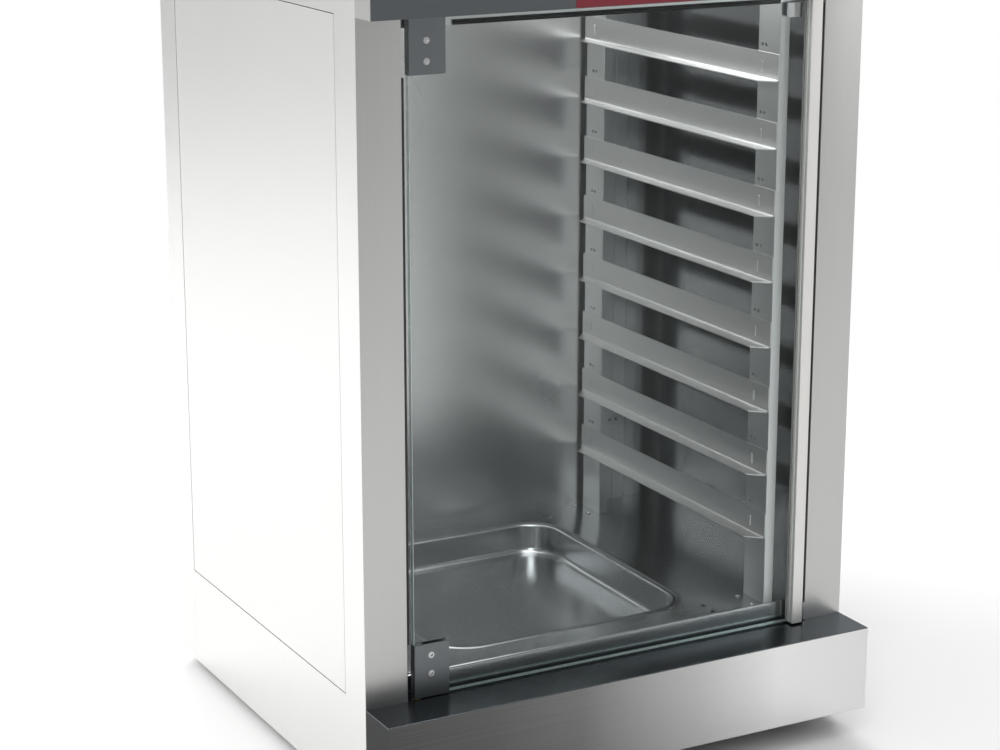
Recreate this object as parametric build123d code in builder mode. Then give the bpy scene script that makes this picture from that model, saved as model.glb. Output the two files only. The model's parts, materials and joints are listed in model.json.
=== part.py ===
from build123d import *
import os

os.makedirs("parts", exist_ok=True)

# ---------------------------------------------------------------------------
# Proofing cabinet with a glass door, a rack of tray rails and a water basin.
# Frame: X across (door hinges on -X), -Y is the front, Z up, floor at Z = 0.
# ---------------------------------------------------------------------------

# Driving dimensions, mm
WIDTH = 612.0
DEPTH = 541.0  # casing only, without ledge and head
LEDGE_OUT = 56.0  # the plinth's ledge in front of the casing
HEAD_OUT = 37.0  # the control head in front of the casing
FOOT = 15.0
LEDGE_Z = 133.0
HEAD_Z = 861.0
TOP_Z = 956.0
PLINTH_LIFT = 18.5  # plinth's lower edge above the casing's

SHEET = 1.2
SEAM = 0.8
FOLD = 12.0
STILE = 50.0  # width of each front stile, and of the strip it wraps round the side
RETURN = 14.0  # depth of the stile's return into the opening
REAR_WRAP = 48.0
CORNER_ROUND = 2.0  # upright outer corners of the covers

CHAMBER_HALF = 272.0
CHAMBER_BACK = 438.0  # from the front plane
FLOOR_LIFT = 23.0  # chamber floor above the ledge
CEILING = 731.0  # chamber ceiling above the ledge

RACK_RIGHT = 208.4  # face of the right uprights
RACK_LEFT = -256.0
RAIL_PITCH = 75.0
RAIL_COUNT = 8
RAIL_FIRST = 102.0  # lowest rail's underside above the ledge
RAIL_WEB = 30.0
RAIL_FLANGE = 17.5
RAIL_FRONT, RAIL_BACK = 15.0, 432.0
UPRIGHT_W = 42.0
UPRIGHT_FRONTS = {"front": 15.0, "rear": 388.0}

BASIN_LEFT, BASIN_RIGHT = -181.0, 132.5
BASIN_FRONT, BASIN_BACK = 56.0, 398.0
BASIN_DEEP = 36.0
BASIN_CORNER = 45.0
BASIN_DRAFT = 3.0  # degrees

GLASS = 6.0
GLASS_FRONT = 1.0  # glass behind the front plane
GLASS_LEFT, GLASS_RIGHT = -248.0, 241.0
DOOR_LOW, DOOR_HIGH = 1.0, 727.0  # above the ledge
PIVOT_X, PIVOT_Y = -244.0, 4.0
PIN_R = 3.0
RUNNING = 0.05
CLAMP_W, CLAMP_H = 41.0, 60.0

GLAND_OUT = 14.0  # cable gland behind the casing

# Worked out
HALF = WIDTH / 2
FRONT = -(DEPTH + GLAND_OUT - LEDGE_OUT) / 2  # centres the whole object on Y = 0
BACK = FRONT + DEPTH
OPEN_HALF = HALF - STILE
FLOOR_Z = LEDGE_Z + FLOOR_LIFT
CEILING_Z = LEDGE_Z + CEILING
PANEL_REAR = DEPTH - REAR_WRAP
RAIL_ZS = [LEDGE_Z + RAIL_FIRST + RAIL_PITCH * level for level in range(RAIL_COUNT)]


def block(low, high):
    """Adds a box between two corners. Y is counted from the front plane."""
    with BuildSketch(Plane.XY.offset(low[2])) as base:
        with Locations(((low[0] + high[0]) / 2, FRONT + (low[1] + high[1]) / 2)):
            Rectangle(high[0] - low[0], high[1] - low[1])
    extrude(base.sketch, amount=high[2] - low[2])


def hollow(low, high):
    """Cuts a box between two corners out of the part being built."""
    with BuildSketch(Plane.XY.offset(low[2])) as base:
        with Locations(((low[0] + high[0]) / 2, FRONT + (low[1] + high[1]) / 2)):
            Rectangle(high[0] - low[0], high[1] - low[1])
    extrude(base.sketch, amount=high[2] - low[2], mode=Mode.SUBTRACT)


def front_plane(y):
    """A plane facing the front, y behind the front plane; its local x and y are X and Z."""
    return Plane(origin=(0, FRONT + y, 0), x_dir=(1, 0, 0), z_dir=(0, -1, 0))


def save(piece, name):
    """Labels a finished part and writes it."""
    piece.label = name
    export_step(piece, f"parts/{name}.step")


def box_part(name, low, high, edge=0.0):
    """A plain plate or block, with its upright edges rounded by edge."""
    with BuildPart() as piece:
        block(low, high)
        if edge:
            fillet(piece.edges().filter_by(Axis.Z), edge)
    save(piece.part, name)


# ---------------------------------------------------------------------------
# Casing
# ---------------------------------------------------------------------------

FOOT_X, FOOT_FRONT, FOOT_REAR = 262.0, 40.0, 500.0
FOOT_R, STUD_R, STUD_TOP = 17.0, 5.0, 34.0
NUT_R, NUT_T = 10.0, 3.0
FOOT_PLACES = [(x, FRONT + y) for x in (-FOOT_X, FOOT_X) for y in (FOOT_FRONT, FOOT_REAR)]
TRAY_EDGE, TRAY_GAP = 25.0, 0.3
STUD_PLAY = 0.2
CASE_SCREW_R = 2.0
REAR_SCREW_PLACES = [
    (x, z) for x in (-HALF + 14.0, 0.0, HALF - 14.0) for z in (FOOT + 16.0, 330.0, 640.0, TOP_Z - 16.0)
]
TRAY_HALF = HALF - SHEET - TRAY_GAP
TRAY_BACK = DEPTH - SHEET - TRAY_GAP

with BuildPart() as base_tray:
    block((-TRAY_HALF, SHEET + TRAY_GAP, FOOT), (TRAY_HALF, TRAY_BACK, FOOT + TRAY_EDGE))
    hollow(
        (-TRAY_HALF + SHEET, 2 * SHEET + TRAY_GAP, FOOT + SHEET),
        (TRAY_HALF - SHEET, TRAY_BACK - SHEET, FOOT + TRAY_EDGE),
    )
    with BuildSketch(Plane.XY.offset(FOOT)):
        with Locations(*FOOT_PLACES):
            Circle(STUD_R + STUD_PLAY)
    extrude(amount=SHEET, mode=Mode.SUBTRACT)
    with BuildSketch(front_plane(DEPTH)):
        with Locations(*REAR_SCREW_PLACES):
            Circle(CASE_SCREW_R)
    extrude(amount=2 * FOLD, mode=Mode.SUBTRACT)
save(base_tray.part, "base_tray")

with BuildPart() as feet:
    with BuildSketch(Plane.XY):
        with Locations(*FOOT_PLACES):
            Circle(FOOT_R)
    extrude(amount=FOOT - NUT_T)
    fillet(feet.edges().group_by(Axis.Z)[0], 2.0)
    with BuildSketch(Plane.XY.offset(FOOT - NUT_T)):
        with Locations(*FOOT_PLACES):
            RegularPolygon(NUT_R, 6)
    extrude(amount=NUT_T)
    with BuildSketch(Plane.XY.offset(FOOT)):
        with Locations(*FOOT_PLACES):
            Circle(STUD_R)
    extrude(amount=STUD_TOP - FOOT)
save(feet.part, "feet")

SHELL_TOP = TOP_Z - SHEET
WINDOW_LOW, WINDOW_HIGH = LEDGE_Z, HEAD_Z - 1.0


def side_shell(name, side):
    """Front stile, skirt and head band of one side, folded from one sheet. side is -1 left, 1 right."""
    with BuildPart() as piece:
        with BuildSketch(Plane.XY.offset(FOOT)):
            with BuildLine():
                Polyline(
                    (side * HALF, FRONT + PANEL_REAR),
                    (side * HALF, FRONT),
                    (side * OPEN_HALF, FRONT),
                    (side * OPEN_HALF, FRONT + RETURN),
                    (side * CHAMBER_HALF, FRONT + RETURN),
                    (side * CHAMBER_HALF, FRONT + RETURN - SHEET),
                    (side * (OPEN_HALF + SHEET), FRONT + RETURN - SHEET),
                    (side * (OPEN_HALF + SHEET), FRONT + SHEET),
                    (side * (HALF - SHEET), FRONT + SHEET),
                    (side * (HALF - SHEET), FRONT + PANEL_REAR),
                    close=True,
                )
            make_face()
        extrude(amount=SHELL_TOP - FOOT)
        outer = piece.edges().filter_by(Axis.Z).filter_by_position(Axis.Y, FRONT - 0.1, FRONT + 0.1)
        fillet(outer, SHEET * 0.7)
        return_x = sorted((side * (OPEN_HALF - 1), side * (HALF - SHEET)))
        hollow((return_x[0], SHEET, FOOT), (return_x[1], RETURN + 1, FOOT + TRAY_EDGE + 1))
        inner_x, outer_x = sorted((side * (HALF - FOLD), side * (HALF + 1)))
        hollow((inner_x, STILE, WINDOW_LOW), (outer_x, PANEL_REAR + 1, WINDOW_HIGH))
        fold_x = sorted((side * (HALF - FOLD), side * (HALF - SHEET / 2)))
        block((fold_x[0], STILE - SHEET, WINDOW_LOW - SHEET), (fold_x[1], STILE, WINDOW_HIGH + SHEET))
        block((fold_x[0], STILE - SHEET, WINDOW_LOW - SHEET), (fold_x[1], PANEL_REAR, WINDOW_LOW))
        block((fold_x[0], STILE - SHEET, WINDOW_HIGH), (fold_x[1], PANEL_REAR, WINDOW_HIGH + SHEET))
    save(piece.part, name)


def side_panel(name, side):
    """Removable side panel: a sheet folded inwards all round, flush in the shell's window."""
    low_y, high_y = STILE + SEAM, PANEL_REAR - SEAM
    low_z, high_z = WINDOW_LOW + SEAM, WINDOW_HIGH - SEAM
    with BuildPart() as piece:
        xs = sorted((side * (HALF - FOLD), side * HALF))
        block((xs[0], low_y, low_z), (xs[1], high_y, high_z))
        inner = sorted((side * (HALF - FOLD), side * (HALF - SHEET)))
        hollow(
            (inner[0], low_y + SHEET, low_z + SHEET),
            (inner[1], high_y - SHEET, high_z - SHEET),
        )
    save(piece.part, name)


for side_name, side_sign in (("left", -1), ("right", 1)):
    side_shell(f"side_shell_{side_name}", side_sign)
    side_panel(f"side_panel_{side_name}", side_sign)

# Rear cover: a U-shaped sheet with vent slots, a gland hole and screw holes
GLAND_X, GLAND_Z = 215.0, 62.0
GLAND_R, GLAND_BORE = 10.0, 5.0
SLOT_L, SLOT_W, SLOT_PITCH, SLOT_ROWS = 60.0, 5.0, 14.0, 5
VENT_ZS = (HEAD_Z + 18.0, FOOT + 30.0)
VENT_XS = (-160.0, -80.0, 0.0, 80.0)

with BuildPart() as rear_cover:
    block((-HALF, PANEL_REAR, FOOT), (HALF, DEPTH, SHELL_TOP))
    fillet(
        rear_cover.edges().filter_by(Axis.Z).filter_by_position(Axis.Y, BACK - 0.1, BACK + 0.1),
        CORNER_ROUND,
    )
    hollow((-HALF + SHEET, PANEL_REAR, FOOT), (HALF - SHEET, DEPTH - SHEET, SHELL_TOP))
    with BuildSketch(front_plane(DEPTH)):
        for vent_z in VENT_ZS:
            for vent_x in VENT_XS:
                with Locations((vent_x, vent_z + SLOT_PITCH * (SLOT_ROWS - 1) / 2)):
                    with GridLocations(SLOT_L, SLOT_PITCH, 1, SLOT_ROWS):
                        SlotOverall(SLOT_L, SLOT_W)
        with Locations(*REAR_SCREW_PLACES):
            Circle(CASE_SCREW_R)
        with Locations((GLAND_X, GLAND_Z)):
            Circle(GLAND_R)
    extrude(amount=2 * SHEET, mode=Mode.SUBTRACT)
save(rear_cover.part, "rear_cover")

CASE_SCREW_L, CASE_HEAD_R, CASE_HEAD_T, CASE_HEAD_ROUND = 6.0, 3.8, 2.2, 1.4
CROSS_L, CROSS_W, CROSS_DEEP = 4.4, 0.9, 1.2
with BuildPart() as rear_screws:
    with BuildSketch(front_plane(DEPTH)):
        with Locations(*REAR_SCREW_PLACES):
            Circle(CASE_SCREW_R)
    extrude(amount=CASE_SCREW_L)
    with BuildSketch(front_plane(DEPTH)):
        with Locations(*REAR_SCREW_PLACES):
            Circle(CASE_HEAD_R)
    extrude(amount=-CASE_HEAD_T)
    fillet(rear_screws.edges().group_by(Axis.Y)[-1], CASE_HEAD_ROUND)
    with BuildSketch(front_plane(DEPTH + CASE_HEAD_T)):
        with Locations(*REAR_SCREW_PLACES):
            Rectangle(CROSS_L, CROSS_W)
            Rectangle(CROSS_W, CROSS_L)
    extrude(amount=CROSS_DEEP, mode=Mode.SUBTRACT)
save(rear_screws.part, "rear_screws")

RIB_YS, RIB_INSET = (RETURN + 2.0, DEPTH - 2 * SHEET - 8.0), 6.0
with BuildPart() as top_cover:
    block((-HALF, -HEAD_OUT, SHELL_TOP), (HALF, DEPTH, TOP_Z))
    fillet(top_cover.edges().filter_by(Axis.Z), CORNER_ROUND)
    for rib_y in RIB_YS:
        block((-HALF + RIB_INSET, rib_y, SHELL_TOP - FOLD), (HALF - RIB_INSET, rib_y + SHEET, SHELL_TOP))
save(top_cover.part, "top_cover")

# Control head: a folded housing, a fascia and the works behind it
HEAD_FACE = -HEAD_OUT + 1.5
KNOB_XS = {"thermostat": 150.0, "humidity": 218.0}
CONTROL_Z = HEAD_Z + 50.0
SHAFT_R, SHAFT_CLEAR = 3.0, 1.0
SWITCH_X, SWITCH_W, SWITCH_H = -218.0, 28.0, 20.0
LAMP_XS = (-170.0, -146.0)
LAMP_R = 4.0
TONGUE_BACK, TONGUE_GAP = 11.0, 0.3  # sheet that runs back between the stiles over the door
BUSH_R = 5.0

with BuildPart() as control_housing:
    block((-HALF, HEAD_FACE, HEAD_Z), (HALF, 0, SHELL_TOP))
    hollow((-HALF + SHEET, HEAD_FACE + SHEET, HEAD_Z + SHEET), (HALF - SHEET, 0, SHELL_TOP))
    block((-OPEN_HALF + TONGUE_GAP, -1.0, HEAD_Z), (OPEN_HALF - TONGUE_GAP, TONGUE_BACK, HEAD_Z + SHEET))
    with BuildSketch(front_plane(HEAD_FACE + SHEET)):
        with Locations(*[(x, CONTROL_Z) for x in KNOB_XS.values()]):
            Circle(SHAFT_R + SHAFT_CLEAR)
        with Locations(*[(x, CONTROL_Z) for x in LAMP_XS]):
            Circle(LAMP_R)
        with Locations((SWITCH_X, CONTROL_Z)):
            Rectangle(SWITCH_W, SWITCH_H)
    extrude(amount=SHEET, mode=Mode.SUBTRACT)
    with BuildSketch(Plane.XY.offset(HEAD_Z)):
        with Locations((PIVOT_X, FRONT + PIVOT_Y)):
            Circle(BUSH_R)
    extrude(amount=SHEET, mode=Mode.SUBTRACT)
save(control_housing.part, "control_housing")

with BuildPart() as control_fascia:
    block((-HALF, -HEAD_OUT, HEAD_Z), (HALF, HEAD_FACE, SHELL_TOP))
    fillet(
        control_fascia.edges().filter_by(Axis.Z).filter_by_position(Axis.Y, FRONT - 40, FRONT - 36.9),
        1.0,
    )
    with BuildSketch(front_plane(HEAD_FACE)):
        with Locations(*[(x, CONTROL_Z) for x in KNOB_XS.values()]):
            Circle(SHAFT_R + SHAFT_CLEAR)
        with Locations(*[(x, CONTROL_Z) for x in LAMP_XS]):
            Circle(LAMP_R)
        with Locations((SWITCH_X, CONTROL_Z)):
            Rectangle(SWITCH_W, SWITCH_H)
    extrude(amount=2.0, mode=Mode.SUBTRACT)
save(control_fascia.part, "control_fascia")

BADGE_W, BADGE_X, BADGE_T = 145.0, -5.0, 0.5
box_part(
    "badge_plate",
    (BADGE_X - BADGE_W / 2, -HEAD_OUT - BADGE_T, HEAD_Z + 0.5),
    (BADGE_X + BADGE_W / 2, -HEAD_OUT, HEAD_Z + 68.0),
)

KNOB_R, KNOB_DEEP, KNOB_GAP = 17.0, 15.0, 0.8
KNOB_TAPER, KNOB_ROUND, FLUTES, FLUTE_R, SKIRT_T = 6, 2.0, 24, 0.9, 3.0
POINTER_L, POINTER_W, POINTER_UP, POINTER_DEEP = 9.0, 1.8, 8.0, 0.8
REGULATOR_HALF, REGULATOR_DEEP, SHAFT_SEAT = 20.0, 24.0, 10.0
with BuildPart() as regulators:
    for knob_x in KNOB_XS.values():
        block(
            (knob_x - REGULATOR_HALF, HEAD_FACE + SHEET, CONTROL_Z - REGULATOR_HALF),
            (knob_x + REGULATOR_HALF, HEAD_FACE + SHEET + REGULATOR_DEEP, CONTROL_Z + REGULATOR_HALF),
        )
    with BuildSketch(front_plane(HEAD_FACE + SHEET + SHAFT_SEAT)):
        with Locations(*[(x, CONTROL_Z) for x in KNOB_XS.values()]):
            Circle(SHAFT_R + RUNNING)
    extrude(amount=SHAFT_SEAT + 1.0, mode=Mode.SUBTRACT)
save(regulators.part, "regulators")

for knob_name, knob_x in KNOB_XS.items():
    with BuildPart() as knob:
        with BuildSketch(front_plane(-HEAD_OUT - KNOB_GAP)):
            with Locations((knob_x, CONTROL_Z)):
                Circle(KNOB_R)
        extrude(amount=KNOB_DEEP, taper=KNOB_TAPER)
        fillet(knob.edges().group_by(Axis.Y)[0], KNOB_ROUND)
        with BuildSketch(front_plane(-HEAD_OUT - KNOB_GAP - KNOB_DEEP + POINTER_DEEP)):
            with Locations((knob_x, CONTROL_Z + POINTER_UP)):
                SlotOverall(POINTER_L, POINTER_W, rotation=90)
        extrude(amount=POINTER_DEEP + 1.0, mode=Mode.SUBTRACT)
        with BuildSketch(front_plane(-HEAD_OUT - KNOB_GAP - 0.5)):
            with Locations((knob_x, CONTROL_Z)):
                with PolarLocations(KNOB_R + 0.1, FLUTES):
                    Circle(FLUTE_R)
        extrude(amount=KNOB_DEEP - SKIRT_T - 0.5, mode=Mode.SUBTRACT)
        with BuildSketch(front_plane(HEAD_FACE + SHEET + SHAFT_SEAT - 1.0)):
            with Locations((knob_x, CONTROL_Z)):
                Circle(SHAFT_R)
        extrude(amount=HEAD_OUT - 26.0 + KNOB_GAP + 2.0)
    save(knob.part, f"{knob_name}_knob")

# Rocker switch: a bezel and body fixed in the fascia, and a rocker that tips in it
BEZEL, ROCKER_TILT = 2.5, 8.0
ROCKER_PIVOT_Y = -HEAD_OUT + 4.0
with BuildPart() as switch_body:
    block(
        (SWITCH_X - SWITCH_W / 2 - BEZEL, -HEAD_OUT - 1.6, CONTROL_Z - SWITCH_H / 2 - BEZEL),
        (SWITCH_X + SWITCH_W / 2 + BEZEL, -HEAD_OUT, CONTROL_Z + SWITCH_H / 2 + BEZEL),
    )
    fillet(switch_body.edges().filter_by(Axis.Y), 2.0)
    block(
        (SWITCH_X - SWITCH_W / 2, -HEAD_OUT, CONTROL_Z - SWITCH_H / 2),
        (SWITCH_X + SWITCH_W / 2, -HEAD_OUT + 24, CONTROL_Z + SWITCH_H / 2),
    )
    hollow(
        (SWITCH_X - SWITCH_W / 2 + 2, -HEAD_OUT - 2, CONTROL_Z - SWITCH_H / 2 + 2),
        (SWITCH_X + SWITCH_W / 2 - 2, -HEAD_OUT + 12, CONTROL_Z + SWITCH_H / 2 - 2),
    )
    with BuildSketch(Plane.YZ.offset(SWITCH_X - SWITCH_W / 2)):
        with Locations((FRONT + ROCKER_PIVOT_Y, CONTROL_Z)):
            Circle(1.5 + RUNNING)
    extrude(amount=SWITCH_W, mode=Mode.SUBTRACT)
save(switch_body.part, "switch_body")

ROCKER_W, ROCKER_H = SWITCH_W - 4.8, SWITCH_H - 6.5
rocker_axis = Axis((SWITCH_X, FRONT + ROCKER_PIVOT_Y, CONTROL_Z), (1, 0, 0))
with BuildPart() as rocker_upright:
    with BuildSketch(Plane.YZ.offset(SWITCH_X - ROCKER_W / 2)):
        with BuildLine():
            Polyline(
                (FRONT + ROCKER_PIVOT_Y + 4, CONTROL_Z - 3),
                (FRONT + ROCKER_PIVOT_Y - 6.5, CONTROL_Z - ROCKER_H / 2),
                (FRONT + ROCKER_PIVOT_Y - 5.5, CONTROL_Z),
                (FRONT + ROCKER_PIVOT_Y - 6.5, CONTROL_Z + ROCKER_H / 2),
                (FRONT + ROCKER_PIVOT_Y + 4, CONTROL_Z + 3),
                close=True,
            )
        make_face()
    extrude(amount=ROCKER_W)
    with BuildSketch(Plane.YZ.offset(SWITCH_X - SWITCH_W / 2 + 0.3)):
        with Locations((FRONT + ROCKER_PIVOT_Y, CONTROL_Z)):
            Circle(1.5)
    extrude(amount=SWITCH_W - 0.6)
save(rocker_upright.part.rotate(rocker_axis, ROCKER_TILT), "power_rocker")

with BuildPart() as pilot_lamps:
    with BuildSketch(front_plane(HEAD_FACE + SHEET + 12)):
        with Locations(*[(x, CONTROL_Z) for x in LAMP_XS]):
            Circle(LAMP_R)
    extrude(amount=HEAD_OUT + HEAD_FACE + SHEET + 12 + 1.5)
    fillet(pilot_lamps.edges().group_by(Axis.Y)[0], 1.4)
save(pilot_lamps.part, "pilot_lamps")

# Plinth: ledge, front, cheeks and lower return in one folded sheet
PLINTH_Z = FOOT + PLINTH_LIFT
UPSTAND_Y, UPSTAND_H = 12.0, 5.0
with BuildPart() as plinth:
    block((-HALF, -LEDGE_OUT, PLINTH_Z), (HALF, 0, LEDGE_Z))
    front_edges = plinth.edges().filter_by(Axis.X).filter_by_position(Axis.Y, FRONT - 57, FRONT - 55)
    fillet(front_edges, 1.2)
    hollow((-HALF + SHEET, -LEDGE_OUT + SHEET, PLINTH_Z + SHEET), (HALF - SHEET, 0, LEDGE_Z - SHEET))
    hollow((-HALF + FOLD, -LEDGE_OUT + FOLD, PLINTH_Z), (HALF - FOLD, 0, PLINTH_Z + SHEET))
    block(
        (-OPEN_HALF + TONGUE_GAP, -1.0, LEDGE_Z - SHEET),
        (OPEN_HALF - TONGUE_GAP, UPSTAND_Y + SHEET, LEDGE_Z),
    )
    block(
        (-OPEN_HALF + TONGUE_GAP, UPSTAND_Y, LEDGE_Z - SHEET),
        (OPEN_HALF - TONGUE_GAP, UPSTAND_Y + SHEET, LEDGE_Z + UPSTAND_H),
    )
    with BuildSketch(Plane.XY.offset(LEDGE_Z - SHEET)):
        with Locations((PIVOT_X, FRONT + PIVOT_Y)):
            Circle(BUSH_R)
    extrude(amount=SHEET, mode=Mode.SUBTRACT)
save(plinth.part, "plinth")

# ---------------------------------------------------------------------------
# Chamber
# ---------------------------------------------------------------------------

LINER_FRONT = RETURN + 0.2
LINER_LOW = FLOOR_Z - 14.0
box_part(
    "liner_left",
    (-CHAMBER_HALF - SHEET, LINER_FRONT, LINER_LOW),
    (-CHAMBER_HALF, CHAMBER_BACK + SHEET, CEILING_Z + SHEET),
)
box_part(
    "liner_right",
    (CHAMBER_HALF, LINER_FRONT, LINER_LOW),
    (CHAMBER_HALF + SHEET, CHAMBER_BACK + SHEET, CEILING_Z + SHEET),
)
box_part(
    "liner_back",
    (-CHAMBER_HALF, CHAMBER_BACK, LINER_LOW),
    (CHAMBER_HALF, CHAMBER_BACK + SHEET, CEILING_Z + SHEET),
)
box_part(
    "liner_top",
    (-CHAMBER_HALF, LINER_FRONT, CEILING_Z),
    (CHAMBER_HALF, CHAMBER_BACK, CEILING_Z + SHEET),
)

# Floor: a pan pressed down into a water basin, its front folded down behind the ledge's upstand
FLOOR_FRONT = UPSTAND_Y + SHEET + 0.2
FLOOR_HOLES = [(x, FRONT + y) for x in (-197.0, 144.0) for y in (22.0, 43.0, 404.0, 425.0)]
FLOOR_HOLE_R = 3.0


def basin_form(width, depth, corner, top_z, bottom_z, round_off):
    """A tapered tub with rounded corners, filled in, from top_z down to bottom_z."""
    with BuildPart() as tub:
        with BuildSketch(Plane.XY.offset(bottom_z)) as base:
            with Locations(((BASIN_LEFT + BASIN_RIGHT) / 2, FRONT + (BASIN_FRONT + BASIN_BACK) / 2)):
                RectangleRounded(width, depth, corner)
        extrude(base.sketch, amount=top_z - bottom_z, taper=-BASIN_DRAFT)
        fillet(tub.edges().group_by(Axis.Z)[0], round_off)
    return tub.part


BASIN_W, BASIN_L = BASIN_RIGHT - BASIN_LEFT, BASIN_BACK - BASIN_FRONT
DRAFT_LOSS = 3.8  # what the draft takes off the basin's width and depth at its bottom
BOTTOM_ROUND = 8.0
basin_outer = basin_form(
    BASIN_W + 2 * SHEET - DRAFT_LOSS,
    BASIN_L + 2 * SHEET - DRAFT_LOSS,
    BASIN_CORNER,
    FLOOR_Z - SHEET / 2,
    FLOOR_Z - BASIN_DEEP - SHEET,
    BOTTOM_ROUND + 1.0,
)
basin_inner = basin_form(
    BASIN_W - DRAFT_LOSS,
    BASIN_L - DRAFT_LOSS,
    BASIN_CORNER - SHEET,
    FLOOR_Z + 1,
    FLOOR_Z - BASIN_DEEP,
    BOTTOM_ROUND,
)
with BuildPart() as floor:
    block((-CHAMBER_HALF, LINER_FRONT + 1, FLOOR_Z - SHEET), (CHAMBER_HALF, CHAMBER_BACK, FLOOR_Z))
    block((-OPEN_HALF + 0.5, FLOOR_FRONT, LEDGE_Z + 1), (OPEN_HALF - 0.5, FLOOR_FRONT + SHEET, FLOOR_Z))
    block((-OPEN_HALF + 0.5, FLOOR_FRONT, FLOOR_Z - SHEET), (OPEN_HALF - 0.5, LINER_FRONT + 2, FLOOR_Z))
    add(basin_outer)
    add(basin_inner, mode=Mode.SUBTRACT)
    with BuildSketch(Plane.XY.offset(FLOOR_Z - SHEET)):
        with Locations(*FLOOR_HOLES):
            Circle(FLOOR_HOLE_R)
    extrude(amount=SHEET, mode=Mode.SUBTRACT)
save(floor.part, "floor")

HEADER_LOW = LEDGE_Z + 713.0
HEADER_Y, HEADER_DEEP = 12.0, 2.2
with BuildPart() as front_header:
    block((-OPEN_HALF + 0.5, HEADER_Y, HEADER_LOW), (OPEN_HALF - 0.5, HEADER_Y + SHEET, CEILING_Z))
    for fold_z in (HEADER_LOW, CEILING_Z - SHEET):
        block(
            (-OPEN_HALF + 0.5, HEADER_Y, fold_z),
            (OPEN_HALF - 0.5, HEADER_Y + HEADER_DEEP, fold_z + SHEET),
        )
save(front_header.part, "front_header")

STRIP_LEFT, STRIP_THICK, STRIP_SCREW_Z = 246.0, 4.0, LEDGE_Z + 131.0
with BuildPart() as corner_strip:
    block((STRIP_LEFT, CHAMBER_BACK - STRIP_THICK, FLOOR_Z), (CHAMBER_HALF, CHAMBER_BACK, CEILING_Z))
    hollow(
        (STRIP_LEFT + SHEET, CHAMBER_BACK - STRIP_THICK + SHEET, FLOOR_Z),
        (CHAMBER_HALF, CHAMBER_BACK, CEILING_Z),
    )
    hollow(
        (STRIP_LEFT + 8.0, CHAMBER_BACK - STRIP_THICK, FLOOR_Z),
        (STRIP_LEFT + 8.4, CHAMBER_BACK - STRIP_THICK + SHEET / 2, CEILING_Z),
    )
save(corner_strip.part, "corner_strip")

INSULATION_T, SIDE_INSULATION_T, TOP_INSULATION_T = 30.0, 20.0, 25.0
WALL_GAP = 0.4
with BuildPart() as insulation_sides:
    for side_sign in (-1, 1):
        board_xs = sorted(side_sign * (CHAMBER_HALF + SHEET + WALL_GAP + t) for t in (0, SIDE_INSULATION_T))
        block((board_xs[0], STILE + 2.0, FLOOR_Z - 10.0), (board_xs[1], CHAMBER_BACK, CEILING_Z))
save(insulation_sides.part, "insulation_sides")
BACK_BOARD_Y = CHAMBER_BACK + SHEET + WALL_GAP
box_part(
    "insulation_back",
    (-CHAMBER_HALF, BACK_BOARD_Y, FLOOR_Z - 10.0),
    (CHAMBER_HALF, BACK_BOARD_Y + INSULATION_T, CEILING_Z),
)
box_part(
    "insulation_top",
    (-CHAMBER_HALF, LINER_FRONT + 20.0, CEILING_Z + SHEET + WALL_GAP),
    (CHAMBER_HALF, CHAMBER_BACK, CEILING_Z + SHEET + WALL_GAP + TOP_INSULATION_T),
)

# Seals round the door
SEAL_T = 3.7
SEAL_SPANS = {"left": (CLAMP_H + 3.0, DOOR_HIGH - CLAMP_H - 2.0), "right": (24.0, 712.0)}
for seal_name, (seal_low, seal_high) in SEAL_SPANS.items():
    seal_xs = (-OPEN_HALF, -OPEN_HALF + SEAL_T) if seal_name == "left" else (OPEN_HALF - SEAL_T, OPEN_HALF)
    box_part(
        f"seal_{seal_name}",
        (seal_xs[0], 1.0, LEDGE_Z + seal_low),
        (seal_xs[1], 8.0, LEDGE_Z + seal_high),
        edge=1.2,
    )
with BuildPart() as seal_top:
    block((-193.0, HEADER_Y - 2.8, HEADER_LOW), (204.0, HEADER_Y, HEADER_LOW + 5.5))
    fillet(seal_top.edges().filter_by(Axis.Y), 2.5)
save(seal_top.part, "seal_top")

box_part(
    "stop_plate",
    (OPEN_HALF - SEAL_T, -2.0, LEDGE_Z + 1.0),
    (OPEN_HALF, 9.0, LEDGE_Z + 22.0),
    edge=0.8,
)
with BuildPart() as magnet_catch:
    block((213.0, 9.0, HEADER_LOW - 14.0), (231.0, 14.5, HEADER_LOW))
    fillet(magnet_catch.edges().filter_by(Axis.X), 1.5)
save(magnet_catch.part, "magnet_catch")

# ---------------------------------------------------------------------------
# Rack
# ---------------------------------------------------------------------------

HOOK_W, HOOK_H, HOOK_UP = 3.0, 14.0, 8.0  # slot that a rail's hook drops into
PEG_HOLE, PEG_GAP, PEG_UP = 3.5, 7.0, 38.0  # pair of square holes above each rail
UPRIGHT_SHEET = 1.5
HOOK_INSET = {"front": UPRIGHT_W - 12.0, "rear": 22.0}


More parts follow.
